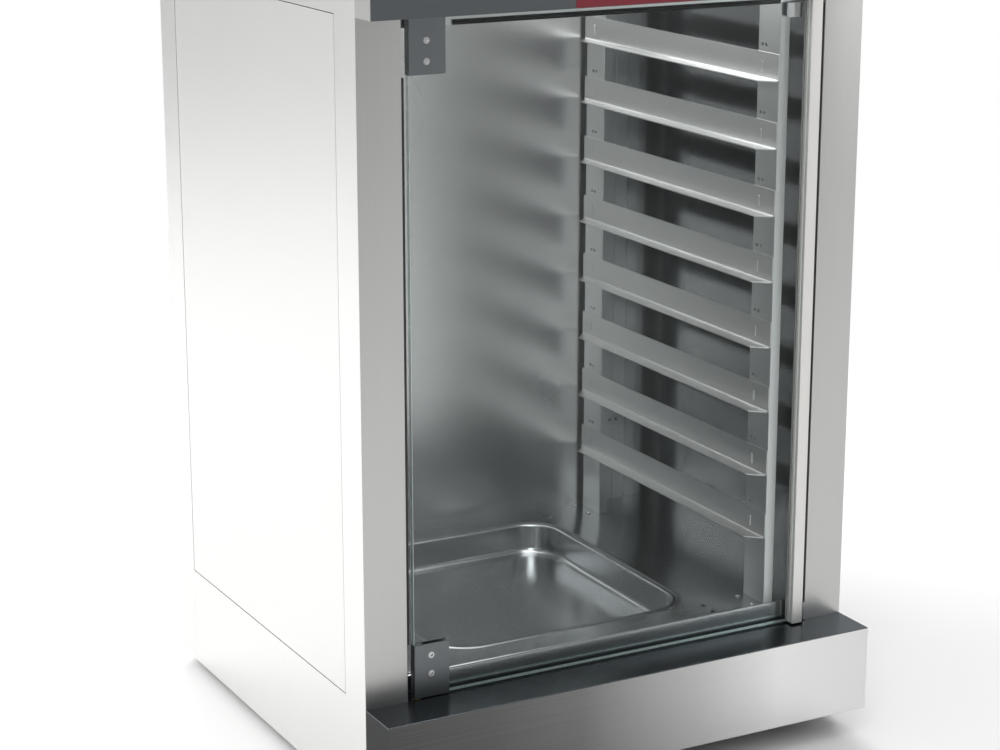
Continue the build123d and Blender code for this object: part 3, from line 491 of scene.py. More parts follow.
@dataclass(frozen=True)
class Lens(Finish):
    """Translucent tinted plastic over a lamp."""

    tone: Colour = (0.75, 0.25, 0.03)

    def wire(self, graph: Graph) -> Sock:
        """Fine prisms inside the lens are a rippled bump."""
        prisms = graph.noise((1500.0, 1500.0, 1500.0), detail=1.0)
        return graph.principled(
            Base_Color=graph.blend(prisms, rgba(self.tone, 0.8), rgba(self.tone, 1.2)),
            Roughness=prisms * 0.1 + 0.12,
            Subsurface_Weight=0.2,
            Coat_Weight=0.6,
            Normal=graph.bump(prisms, 0.0001, 0.4),
        )


@dataclass(frozen=True)
class Wool(Finish):
    """Pressed mineral wool."""

    tone: Colour = (0.60, 0.53, 0.30)

    def wire(self, graph: Graph) -> Sock:
        """Long flat fibres lie in layers, so the noise is stretched along the board."""
        fibres = graph.noise((160.0, 900.0, 160.0), detail=5.0)
        layers = graph.noise((20.0, 300.0, 20.0), detail=3.0)
        mixed = fibres * 0.6 + layers * 0.4
        return graph.principled(
            Base_Color=graph.blend(mixed, rgba(self.tone, 0.6), rgba(self.tone, 1.25)),
            Roughness=mixed * 0.1 + 0.85,
            Normal=graph.bump(mixed, 0.0006),
        )


@dataclass(frozen=True)
class FinishSet:
    """Every finish on the cabinet."""

    casing: Finish = BrushedSteel(
        "casing_steel",
        tone=(0.58, 0.58, 0.57),
        # painted light: the shell's sides lighter than its front
        painted_lit_side_tone=(0.82, 0.82, 0.81),
        rough=0.31,
        # painted shade: the shell's seam insides are painted near-black
        seam_x=0.3056,
        seam_y=-0.215,
    )
    # painted light: the rear cover's sides lighter than its back
    rear: Finish = BrushedSteel("rear_steel", painted_lit_side_tone=(0.82, 0.82, 0.81), seam_x=0.3056, seam_y=9.0)
    panel: Finish = BrushedSteel(
        # painted shade: the seam round the panel is painted near-black inside
        "panel_steel", tone=(0.88, 0.88, 0.87), rough=0.34, contrast=0.06, seam_x=0.3056
    )
    flat_casing: Finish = BrushedSteel("flat_casing_steel", rough=0.32, grain=Grain.ALONG_X)
    ledge: Finish = LedgeSteel("ledge_steel")
    wall: Finish = ChamberSteel("chamber_steel")
    # painted shade: the right liner is the same steel as the others, painted darker
    painted_shade_wall: Finish = ChamberSteel("far_wall_steel", tone=(0.34, 0.345, 0.35), rough=0.17)
    floor: Finish = ChamberSteel("floor_steel", tone=(0.56, 0.57, 0.58), rough=0.20, waves=0.0003)
    rack: Finish = BrushedSteel("rack_steel", tone=(0.74, 0.75, 0.75), rough=0.32, contrast=0.05)
    rail: Finish = BrushedSteel(
        "rail_steel", tone=(0.74, 0.74, 0.735), rough=0.34, grain=Grain.ALONG_Y, contrast=0.05
    )
    clamp: Finish = BrushedSteel("clamp_steel", tone=(0.18, 0.195, 0.203), rough=0.36, contrast=0.14)
    fastener: Finish = BrushedSteel("fastener_steel", tone=(0.60, 0.60, 0.61), rough=0.22)
    handle: Finish = Anodised("handle_aluminium")
    heater: Finish = Anodised("heater_plate", tone=(0.55, 0.55, 0.55), rough=0.4)
    glass: Finish = DoorGlass("door_pane")
    fascia: Finish = Paint("fascia_paint", tone=(0.070, 0.077, 0.083))
    badge: Finish = Paint("badge_paint", tone=(0.17, 0.006, 0.018), rough=0.35)
    marks: Finish = Paint("print_white", tone=(0.75, 0.76, 0.76), rough=0.45)
    plastic: Finish = Moulded("black_plastic", tone=(0.022, 0.022, 0.024))
    white: Finish = Moulded("white_plastic", tone=(0.72, 0.72, 0.69), rough=0.4)
    rubber: Finish = Moulded("seal_rubber", tone=(0.012, 0.012, 0.013), rough=0.6, texture=0.00007)
    foot: Finish = Moulded("foot_rubber", tone=(0.02, 0.02, 0.02), rough=0.7, texture=0.0001, pitch=1200.0)
    rocker: Finish = Lens("switch_green", tone=(0.02, 0.30, 0.09))
    lamp: Finish = Lens("lamp_lens", tone=(0.75, 0.22, 0.02))
    bronze: Finish = Anodised("bush_bronze", tone=(0.55, 0.36, 0.15), rough=0.4)
    wool: Finish = Wool("mineral_wool")


FINISH = FinishSet()


# Surfaces


def mesh_object(name: str, points: np.ndarray, faces: Sequence[Sequence[int]]) -> Piece:
    """Makes a linked object.

    Args:
        name: its name.
        points: places in metres, in rows of three.
        faces: lists of point numbers.

    Returns:
        The object.
    """
    mesh = bpy.data.meshes.new(name)
    mesh.from_pydata(np.asarray(points, float).reshape(-1, 3).tolist(), [], faces)
    mesh.validate()
    made = bpy.data.objects.new(name, mesh)
    bpy.context.scene.collection.objects.link(made)
    return made


def quads(rows: int, columns: int, wrap: bool) -> np.ndarray:
    """Corner numbers of a grid's quads.

    Args:
        rows: points along the first parameter.
        columns: points along the second parameter.
        wrap: whether the second parameter closes on itself.

    Returns:
        An array of shape (quads, 4).
    """
    last = columns if wrap else columns - 1
    i, j = np.meshgrid(np.arange(rows - 1), np.arange(last), indexing="ij")
    k = (j + 1) % columns
    corners = (i * columns + j, (i + 1) * columns + j, (i + 1) * columns + k, i * columns + k)
    return np.stack([corner.ravel() for corner in corners], axis=1)


def loft(name: str, rings: np.ndarray) -> Piece:
    """A closed solid through closed rings of equal length, its two ends filled.

    Args:
        name: the piece's name.
        rings: points of shape (rings, points in a ring, 3), in metres.

    Returns:
        The piece, its faces outwards.
    """
    count, size = rings.shape[:2]
    faces = quads(count, size, wrap=True).tolist()
    faces += [list(range(size)), list(range((count - 1) * size, count * size))]
    made = mesh_object(name, rings, faces)
    face_outwards(made)
    shade(made)
    return made


def face_outwards(obj: Piece) -> None:
    """Merges double points and turns every face outwards.

    Args:
        obj: the object to put right.
    """
    edit = bmesh.new()
    edit.from_mesh(obj.data)
    bmesh.ops.remove_doubles(edit, verts=edit.verts, dist=1e-6)
    bmesh.ops.recalc_face_normals(edit, faces=edit.faces)
    edit.to_mesh(obj.data)
    edit.free()


def shade(obj: Piece, degrees: float = 35.0) -> None:
    """Smooth shading with sharp edges over an angle."""
    obj.data.shade_smooth()
    obj.data.set_sharp_from_angle(angle=math.radians(degrees))


def join(name: str, parts: Sequence[Piece]) -> Piece:
    """Joins pieces into one.

    Args:
        name: the joined piece's name.
        parts: the pieces, the first of which stays.

    Returns:
        The joined piece.
    """
    with bpy.context.temp_override(active_object=parts[0], selected_editable_objects=list(parts)):
        bpy.ops.object.join()
    parts[0].name = parts[0].data.name = name
    return parts[0]


def solidify(obj: Piece, thickness: float, offset: float = -1.0) -> None:
    """Gives a sheet its thickness, and keeps it in the mesh.

    Args:
        obj: the sheet.
        thickness: its thickness, in metres.
        offset: -1 thickens it behind its faces, 0 on both sides.
    """
    made = obj.modifiers.new("thickness", "SOLIDIFY")
    made.thickness = thickness
    made.offset = offset
    made.use_even_offset = True
    apply_modifiers(obj)


def apply_modifiers(obj: Piece) -> None:
    """Replaces an object's mesh with its evaluated mesh.

    Args:
        obj: the object whose modifiers are kept in its mesh.
    """
    bpy.context.view_layer.update()
    evaluated = obj.evaluated_get(bpy.context.evaluated_depsgraph_get())
    mesh = bpy.data.meshes.new_from_object(evaluated)
    obj.modifiers.clear()
    obj.data = mesh
    mesh.name = obj.name


def revolve(
    name: str,
    profile: np.ndarray,
    centre: Sequence[float],
    steps: int = 64,
    flutes: int = 0,
    flute_depth: float = 0.0,
    along_y: bool = False,
) -> Piece:
    """A turned solid, with optional flutes.

    A point is (r cos t, r sin t, h). With flutes, r loses flute_depth times the fluted share of the profile
    times the fourth power of |cos(n t / 2)|.

    Args:
        name: the piece's name.
        profile: rows of (radius, height, fluted share), in metres, from one end to the other.
        centre: where radius and height are zero.
        steps: points round the axis.
        flutes: how many flutes go round.
        flute_depth: how deep a flute is, in metres.
        along_y: whether heights run along -Y in place of +Z.

    Returns:
        The piece.
    """
    turn = np.linspace(0.0, 2 * np.pi, steps, endpoint=False)
    flute = np.abs(np.cos(flutes * turn / 2)) ** 4 if flutes else np.zeros(steps)
    radius = profile[:, :1] - flute_depth * profile[:, 2:3] * flute[None, :]
    height = np.repeat(profile[:, 1:2], steps, axis=1)
    flat = (radius * np.cos(turn), radius * np.sin(turn))
    rings = np.stack((flat[0], -height, flat[1]) if along_y else (*flat, height), axis=-1)
    return loft(name, rings + np.asarray(centre, float))


def extrusion(
    name: str, outline: np.ndarray, low: float, high: float, axis: str, ease: float = 0.0004
) -> Piece:
    """A closed outline carried along an axis, its end edges eased.

    Args:
        name: the piece's name.
        outline: (n, 2) points: X and Y for axis Z, Y and Z for axis X.
        low: where it starts, in metres.
        high: where it ends.
        axis: "X" or "Z".
        ease: size of the chamfer at each end.

    Returns:
        The piece.
    """
    middle = (outline.min(0) + outline.max(0)) / 2
    half = (outline.max(0) - outline.min(0)) / 2
    shrink = 1.0 - ease / half
    small = middle + (outline - middle) * shrink
    steps = ((low, small), (low + ease, outline), (high - ease, outline), (high, small))
    rings = []
    for place, shape in steps:
        column = np.full((len(shape), 1), place)
        rings.append(np.hstack((column, shape)) if axis == "X" else np.hstack((shape, column)))
    return loft(name, np.stack(rings))


def rounded_box(name: str, low: Sequence[float], high: Sequence[float], edge: float) -> Piece:
    """A block with rounded edges: a unit sphere grid pushed out to the corners.

    Each point is the nearest inner corner plus edge times the sphere's direction.

    Args:
        name: the piece's name.
        low: lowest corner.
        high: highest corner.
        edge: the edges' radius.

    Returns:
        The piece.
    """
    low, high = np.asarray(low, float), np.asarray(high, float)
    inner_low, inner_high = low + edge, high - edge
    tilt = np.concatenate((np.linspace(-90, 0, 4), np.linspace(0, 90, 4))) * np.pi / 180
    turn = np.concatenate([np.linspace(a, a + 90, 4) for a in (0, 90, 180, 270)]) * np.pi / 180
    sign_turn = np.repeat([[1, 1], [-1, 1], [-1, -1], [1, -1]], 4, axis=0)
    sign_tilt = np.repeat([-1, 1], 4)
    direction = np.stack(
        (
            np.cos(tilt)[:, None] * np.cos(turn),
            np.cos(tilt)[:, None] * np.sin(turn),
            np.repeat(np.sin(tilt)[:, None], len(turn), axis=1),
        ),
        axis=-1,
    )
    sign = np.empty_like(direction)
    sign[..., 0], sign[..., 1] = sign_turn[:, 0], sign_turn[:, 1]
    sign[..., 2] = sign_tilt[:, None]
    core = np.where(sign > 0, inner_high, inner_low)
    return loft(name, core + edge * direction)


def softened(node: str, width: float = 0.0005, finish: Finish | None = None) -> Piece:
    """A copy of a CAD node with its sharp edges bevelled, shown in the node's place.

    Args:
        node: the CAD node.
        width: the bevel's width, in metres.
        finish: what to dress it with.

    Returns:
        The piece.
    """
    source = frame["nodes"][node]
    mesh = source.data.copy()
    mesh.materials.clear()
    made = bpy.data.objects.new(node + "_sheet", mesh)
    bpy.context.scene.collection.objects.link(made)
    edit = bmesh.new()
    edit.from_mesh(mesh)
    bmesh.ops.remove_doubles(edit, verts=edit.verts, dist=1e-5)
    bmesh.ops.dissolve_limit(edit, angle_limit=math.radians(1.0), verts=edit.verts, edges=edit.edges)
    edit.to_mesh(mesh)
    edit.free()
    if "custom_normal" in mesh.attributes:
        mesh.attributes.remove(mesh.attributes["custom_normal"])
    bevel = made.modifiers.new("eased_edges", "BEVEL")
    bevel.width = width
    bevel.segments = 2
    bevel.limit_method = "ANGLE"
    bevel.angle_limit = math.radians(50)
    bevel.harden_normals = True
    mesh.shade_smooth()
    apply_modifiers(made)
    place(made, node_body(node), finish, node)
    return made


def node_body(node: str) -> str:
    """The body that a CAD node rides on."""
    return frame["nodes"][node]["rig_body"]


def place(piece: Piece, body: str, finish: Finish | None, *nodes: str, slot: str = "") -> None:
    """Dresses a piece, makes it ride on a body and stand for CAD nodes, and logs it.

    Args:
        piece: the finished piece.
        body: the body it rides on.
        finish: what to dress it with.
        nodes: the CAD nodes it stands for.
        slot: a material slot name for a piece that stands for no node; it is worked out but not given to the
            piece.
    """
    if finish:
        finish.dress(piece)
    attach(piece, body)
    if nodes:
        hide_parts(*nodes)
    named = slot or (slot_of(nodes[0]) if nodes else "")
    LOG.info("%s rides on %s, %d faces", piece.name, body, len(piece.data.polygons))


def slot_of(node: str) -> str:
    """The record's material slot of a CAD node."""
    return next(row["material_slot"] for row in frame["record"]["subparts"] if row["node"] == node)


def corners(node: str) -> tuple[np.ndarray, np.ndarray]:
    """A CAD node's lowest and highest corners as arrays."""
    low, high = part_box(node)
    return np.array(low), np.array(high)


def rounded_ring(
    low: np.ndarray, high: np.ndarray, radius: float, arc: int = 10, side: int = 10
) -> np.ndarray:
    """A rounded rectangle's points, going round from the right side's middle corner.

    Each quarter is an arc about the corner's centre, and each straight side is split evenly.

    Args:
        low: lowest X and Y.
        high: highest X and Y.
        radius: the corner radius.
        arc: steps in each corner.
        side: steps in each side.

    Returns:
        An (n, 2) array.
    """
    centres = np.array(
        [
            (high[0] - radius, high[1] - radius),
            (low[0] + radius, high[1] - radius),
            (low[0] + radius, low[1] + radius),
            (high[0] - radius, low[1] + radius),
        ]
    )
    pieces = []
    for quarter, centre in enumerate(centres):
        turn = np.linspace(0, np.pi / 2, arc + 1) + quarter * np.pi / 2
        bend = centre + radius * np.stack((np.cos(turn), np.sin(turn)), axis=1)
        after = centres[(quarter + 1) % 4]
        start_turn = (quarter + 1) * np.pi / 2
        goal = after + radius * np.array((math.cos(start_turn), math.sin(start_turn)))
        share = np.linspace(0, 1, side + 1)[1:-1, None]
        pieces += [bend, bend[-1] * (1 - share) + goal * share]
    return np.concatenate(pieces)


# Sub-assemblies


@dataclass
class Casing:
    """Shells, panels, covers, plinth and feet."""

    edge: float = 0.5 * MM
    foot_radius: float = 17.0 * MM
    foot_height: float = 12.0 * MM
    rib_depth: float = 0.5 * MM
    collar_r: float = 9.0 * MM
    collar_t: float = 3.0 * MM
    stud_r: float = 4.7 * MM
    thread_depth: float = 0.3 * MM

    def build(self) -> None:
        """Eases the sheet edges and turns the feet."""
        for side in ("left", "right"):
            softened(f"side_shell_{side}", self.edge, FINISH.casing)
            softened(f"side_panel_{side}", self.edge, FINISH.panel)
        softened("rear_cover", self.edge, FINISH.rear)
        softened("top_cover", self.edge, FINISH.flat_casing)
        softened("plinth", self.edge, FINISH.ledge)
        FINISH.flat_casing.dress(frame["nodes"]["base_tray"])
        FINISH.fastener.dress(frame["nodes"]["rear_screws"])
        self.feet()

    def feet(self) -> None:
        """Ribbed rubber feet under threaded studs, at the corners of the CAD group's box."""
        low, high = corners("feet")
        ribs = np.linspace(0.0, 1.0, 25)
        wave = self.foot_radius - self.rib_depth * (1 - np.cos(ribs * 8 * np.pi)) / 2
        body = np.stack((wave, 1.5 * MM + ribs * (self.foot_height - 3 * MM), ribs * 0), axis=1)
        thread = np.linspace(0.0, 1.0, 41)
        stud_r = self.stud_r + self.thread_depth * np.cos(thread * 20 * np.pi)
        stud_low = self.foot_height + self.collar_t
        stud_z = stud_low + thread * (high[2] - low[2] - stud_low)
        stud = np.stack((stud_r, stud_z, thread * 0), axis=1)
        start = np.array([(0.1 * MM, 0, 0), (self.foot_radius - 2 * MM, 0, 0)])
        collar = np.array(
            [
                (self.foot_radius - 3 * MM, self.foot_height, 0),
                (self.collar_r, self.foot_height, 0),
                (self.collar_r, self.foot_height + self.collar_t, 0),
            ]
        )
        end = np.array([(0.1 * MM, high[2] - low[2], 0)])
        profile = np.concatenate((start, body, collar, stud, end))
        for x in (low[0] + self.foot_radius, high[0] - self.foot_radius):
            for y in (low[1] + self.foot_radius, high[1] - self.foot_radius):
                name = f"foot_{'left' if x < 0 else 'right'}_{'front' if y < 0 else 'rear'}"
                foot = revolve(name, profile, (x, y, low[2]), steps=40)
                place(foot, "cabinet", FINISH.foot, "feet")


@dataclass
class Chamber:
    """Liner, pressed floor, seals and catch."""

    sheet: float = 1.2 * MM
    basin_low: tuple[float, float] = (-181.0 * MM, 56.0 * MM)
    basin_high: tuple[float, float] = (132.5 * MM, 398.0 * MM)
    basin_deep: float = 36.0 * MM
    corner: float = 45.0 * MM
    rim_roll: float = 3.0 * MM
    bottom_roll: float = 8.0 * MM
    bead: float = 0.9 * MM
    draft: float = 0.052
    hole_r: float = 3.0 * MM
    hole_xs: tuple[float, ...] = (-197.0 * MM, 144.0 * MM)
    hole_ys: tuple[float, ...] = (22.0 * MM, 43.0 * MM, 404.0 * MM, 425.0 * MM)
    fold_y: float = 15.4 * MM
    fold_face_y: float = 13.4 * MM
    fold_roll: float = 1.6 * MM
    fold_drop: float = 22.0 * MM
    fold_half: float = 255.5 * MM

    def build(self) -> None:
        """Dresses the liner and builds the floor and seals."""
        nodes = frame["nodes"]
        FINISH.wall.dress(*(nodes[f"liner_{part}"] for part in ("left", "back", "top")))
        # painted shade: the right liner gets the darker copy of the chamber steel
        FINISH.painted_shade_wall.dress(nodes["liner_right"])
        softened("front_header", 0.3 * MM, FINISH.rack)
        softened("corner_strip", 0.3 * MM, FINISH.rack)
        softened("stop_plate", 0.4 * MM, FINISH.fastener)
        softened("magnet_catch", 0.5 * MM, FINISH.plastic)
        FINISH.wool.dress(*(nodes[f"insulation_{part}"] for part in ("sides", "back", "top")))
        FINISH.bronze.dress(nodes["pivot_bushes"])
        self.floor()
        self.seals()

    def basin_profile(self) -> np.ndarray:
        """The basin's cross-section as rows of (distance inside the rim outline, height over the floor).

        From outside in: a low half-cosine bead, a quarter circle over the rim, a straight drafted wall, and a
        quarter circle into the flat bottom.
        """
        bead_x = np.linspace(-9.0, -1.5, 12) * MM
        phase = (bead_x - bead_x[0]) / (bead_x[-1] - bead_x[0])
        bead = np.stack((bead_x, self.bead * np.sin(phase * np.pi) ** 2), axis=1)
        turn = np.linspace(0, np.pi / 2, 7)[1:]
        roll = self.rim_roll * np.stack((np.sin(turn), np.cos(turn) - 1), axis=1)
        floor_start = -self.basin_deep + self.bottom_roll
        wall_in = self.rim_roll + self.draft * (roll[-1, 1] - floor_start)
        bend = np.array([wall_in + self.bottom_roll, floor_start]) + self.bottom_roll * np.stack(
            (-np.cos(turn), -np.sin(turn)), axis=1
        )
        start = np.array([(wall_in, floor_start)])
        flat = np.array([(wall_in + self.bottom_roll + 8 * MM, -self.basin_deep)])
        return np.concatenate((bead, np.zeros((1, 2)), roll, start, bend, flat))

    def floor(self) -> None:
        """The pressed floor: rings from its outer edge, over the bead and rim, to the basin's bottom."""
        low, high = corners("floor")
        front = frame_front()
        top = high[2]
        basin_low = np.array((self.basin_low[0], front + self.basin_low[1]))
        basin_high = np.array((self.basin_high[0], front + self.basin_high[1]))
        profile = self.basin_profile()
        rings = []
        first = self.ring(basin_low, basin_high, profile[0, 0])
        outer = rounded_ring(np.array((low[0], front + self.fold_y)), high[:2], 1.0 * MM)
        for share in (0.0, 0.5, 1.0):
            flat = outer * (1 - share) + first * share
            rings.append(np.column_stack((flat, np.full(len(flat), top))))
        for inset, height in profile[1:]:
            flat = self.ring(basin_low, basin_high, inset)
            rings.append(np.column_stack((flat, np.full(len(flat), top + height))))
        grid = np.stack(rings)
        faces = quads(len(grid), grid.shape[1], wrap=True).tolist()
        faces.append(list(range((len(grid) - 1) * grid.shape[1], len(grid) * grid.shape[1])))
        pan = mesh_object("basin_floor", grid, faces)
        self.point_up(pan)
        solidify(pan, self.sheet)
        self.drill(pan, front, top)
        shade(pan, 30.0)
        fold = self.front_fold(front, top)
        both = join("basin_floor", [pan, fold])
        place(both, "cabinet", FINISH.floor, "floor")

    def ring(self, low: np.ndarray, high: np.ndarray, inset: float) -> np.ndarray:
        """The basin's rounded outline moved inwards."""
        return rounded_ring(low + inset, high - inset, max(self.corner - inset, 1 * MM))

    @staticmethod
    def point_up(pan: Piece) -> None:
        """Turns an open sheet's faces so that its flat parts face up.

        Args:
            pan: the sheet.
        """
        face_outwards(pan)
        flat = max(pan.data.polygons, key=lambda face: face.area)
        if flat.normal.z < 0:
            pan.data.flip_normals()

    def drill(self, pan: Piece, front: float, top: float) -> None:
        """Cuts the round holes through the floor.

        Args:
            pan: the floor.
            front: Y of the casing's front plane.
            top: Z of the floor.
        """
        drills = []
        profile = np.array([(self.hole_r, -4 * MM, 0.0), (self.hole_r, 4 * MM, 0.0)])
        for x in self.hole_xs:
            for y in self.hole_ys:
                drills.append(revolve("drill", profile, (x, front + y, top), steps=24))
        cutter = join("drills", drills)
        cut = pan.modifiers.new("holes", "BOOLEAN")
        cut.object = cutter
        cut.solver = "EXACT"
        apply_modifiers(pan)
        bpy.data.objects.remove(cutter)

    def front_fold(self, front: float, top: float) -> Piece:
        """The floor's front edge, folded down over a quarter circle behind the ledge's upstand.

        Args:
            front: Y of the casing's front plane.
            top: Z of the floor.

        Returns:
            The fold.
        """
        turn = np.linspace(0, np.pi / 2, 8)
        roll = self.fold_roll
        back_y, face_y = front + self.fold_y, front + self.fold_face_y
        arc = np.stack((face_y + roll - roll * np.sin(turn), top - roll + roll * np.cos(turn)), axis=1)
        outline = np.concatenate(([(back_y, top)], arc, [(face_y, top - self.fold_drop)]))
        ends = (-self.fold_half, self.fold_half)
        grid = np.stack([np.column_stack((np.full(len(outline), x), outline)) for x in ends])
        fold = mesh_object("floor_fold", grid, quads(2, len(outline), wrap=False).tolist())
        solidify(fold, self.sheet, 0.0)
        face_outwards(fold)
        shade(fold, 40.0)
        return fold

    def seals(self) -> None:
        """Extruded rubber seals: a bulb with two fins, from the CAD boxes."""
        for side, towards in (("left", 1.0), ("right", -1.0)):
            low, high = corners(f"seal_{side}")
            root_x = low[0] if towards > 0 else high[0]
            outline = self.seal_outline(high[0] - low[0], high[1] - low[1])
            outline = np.column_stack((root_x + towards * outline[:, 0], low[1] + outline[:, 1]))
            seal = extrusion(f"door_seal_{side}", outline, low[2], high[2], "Z")
            place(seal, "cabinet", FINISH.rubber, f"seal_{side}")
        low, high = corners("seal_top")
        outline = self.seal_outline(high[1] - low[1], high[2] - low[2])
        outline = np.column_stack((high[1] - outline[:, 0], low[2] + outline[:, 1]))
        seal = extrusion("door_seal_top", outline, low[0], high[0], "X", 0.6 * MM)
        place(seal, "cabinet", FINISH.rubber, "seal_top")

    @staticmethod
    def seal_outline(deep: float, wide: float) -> np.ndarray:
        """A seal's outline from its root: flat behind, two shallow waves on its face.

        The face stands out by deep times (0.82 + 0.18 cos(4 pi (s - 0.5))), easing to the root at both ends
        along a quarter circle.

        Args:
            deep: how far it stands out, in metres.
            wide: its width.

        Returns:
            An (n, 2) array of (distance out, distance along).
        """
        s = np.linspace(0.0, 1.0, 33)
        ends = np.clip(np.minimum(s, 1 - s) / 0.12, 0, 1)
        face = deep * (0.82 + 0.18 * np.cos(4 * np.pi * (s - 0.5))) * np.sqrt(1 - (1 - ends) ** 2)
        return np.column_stack((np.maximum(face, 0.02 * deep), s * wide))


def frame_front() -> float:
    """Y of the casing's front plane, from the shells' box."""
    return corners("side_shell_left")[0][1]


@dataclass
class Rack:
    """Uprights and tray rails."""

    sheet: float = 1.2 * MM
    web: float = 30.0 * MM
    flange: float = 17.5 * MM
    bend: float = 1.8 * MM
    faces: dict[int, float] = field(default_factory=lambda: {-1: -256.0 * MM, 1: 208.4 * MM})
    tab_ys: tuple[float, ...] = (45.0 * MM, 410.0 * MM)
    tab_half: float = 1.2 * MM
    tab_low: float = 8.5 * MM
    tab_high: float = 20.0 * MM
    levels: int = 8
    ease: float = 0.3 * MM

    def build(self) -> None:
        """Eases the uprights and makes a pair of rails for each level."""
        for side in ("left", "right"):
            for end in ("front", "rear"):
                softened(f"upright_{side}_{end}", self.ease, FINISH.rack)
        for level in range(1, self.levels + 1):
            node = f"rail_pair_{level}"
            low, high = corners(node)
            parts = []
            for side, face in self.faces.items():
                parts.append(self.angle(side, face, low, high))
                parts += self.tabs(side, face, low[2])
            pair = join(f"tray_rails_{level}", parts)
            place(pair, "cabinet", FINISH.rail, node)
        FINISH.fastener.dress(frame["nodes"]["rack_screws"])

    def angle(self, side: int, face: float, low: np.ndarray, high: np.ndarray) -> Piece:
        """One folded rail.

        s goes from the flange's free edge, round the fold, up the web. t goes along Y. The flange's ends are
        cut at 45 degrees, so a point's Y starts as far in as the point is from the web. The flange faces down
        before the sheet is thickened, so the thickness goes up.

        Args:
            side: -1 left, 1 right.
            face: X of the upright's face.
            low: the CAD pair's lowest corner.
            high: its highest corner.

        Returns:
            The rail.
        """
        outer = self.bend + self.sheet
        turn = np.linspace(0, np.pi / 2, 7)
        flat_x = np.linspace(self.flange, outer, 6)[:-1]
        arc_x = outer - outer * np.sin(turn)
        across = np.concatenate((flat_x, arc_x, [0.0, 0.0]))
        up = np.concatenate((flat_x * 0, outer - outer * np.cos(turn), [self.web * 0.5, self.web]))
        start, end = low[1] + across, high[1] - across
        share = np.array([0.0, 0.02, 0.5, 0.98, 1.0])
        y = start[:, None] * (1 - share) + end[:, None] * share
        x = np.repeat((face - side * across)[:, None], len(share), axis=1)
        z = np.repeat((low[2] + up)[:, None], len(share), axis=1)
        faces = quads(len(across), len(share), wrap=False).tolist()
        sheet = mesh_object("rail", np.stack((x, y, z), axis=-1), faces)
        if sheet.data.polygons[0].normal.z > 0:
            sheet.data.flip_normals()
        solidify(sheet, self.sheet)
        face_outwards(sheet)
        shade(sheet, 40.0)
        return sheet

    def tabs(self, side: int, face: float, low_z: float) -> list[Piece]:
        """The tongues that hang each rail in its uprights, standing a little proud of the web.

        Args:
            side: -1 left, 1 right.
            face: X of the upright's face.
            low_z: the rail's underside.

        Returns:
            The tongues.
        """
        made = []
        front = frame_front()
        inner = face - side * (self.sheet + 0.9 * MM)
        outer = face + side * 4.0 * MM
        xs = sorted((inner, outer))
        for y in self.tab_ys:
            low = (xs[0], front + y - self.tab_half, low_z + self.tab_low)
            high = (xs[1], front + y + self.tab_half, low_z + self.tab_high)
            made.append(rounded_box("rail_tab", low, high, 0.3 * MM))
        return made


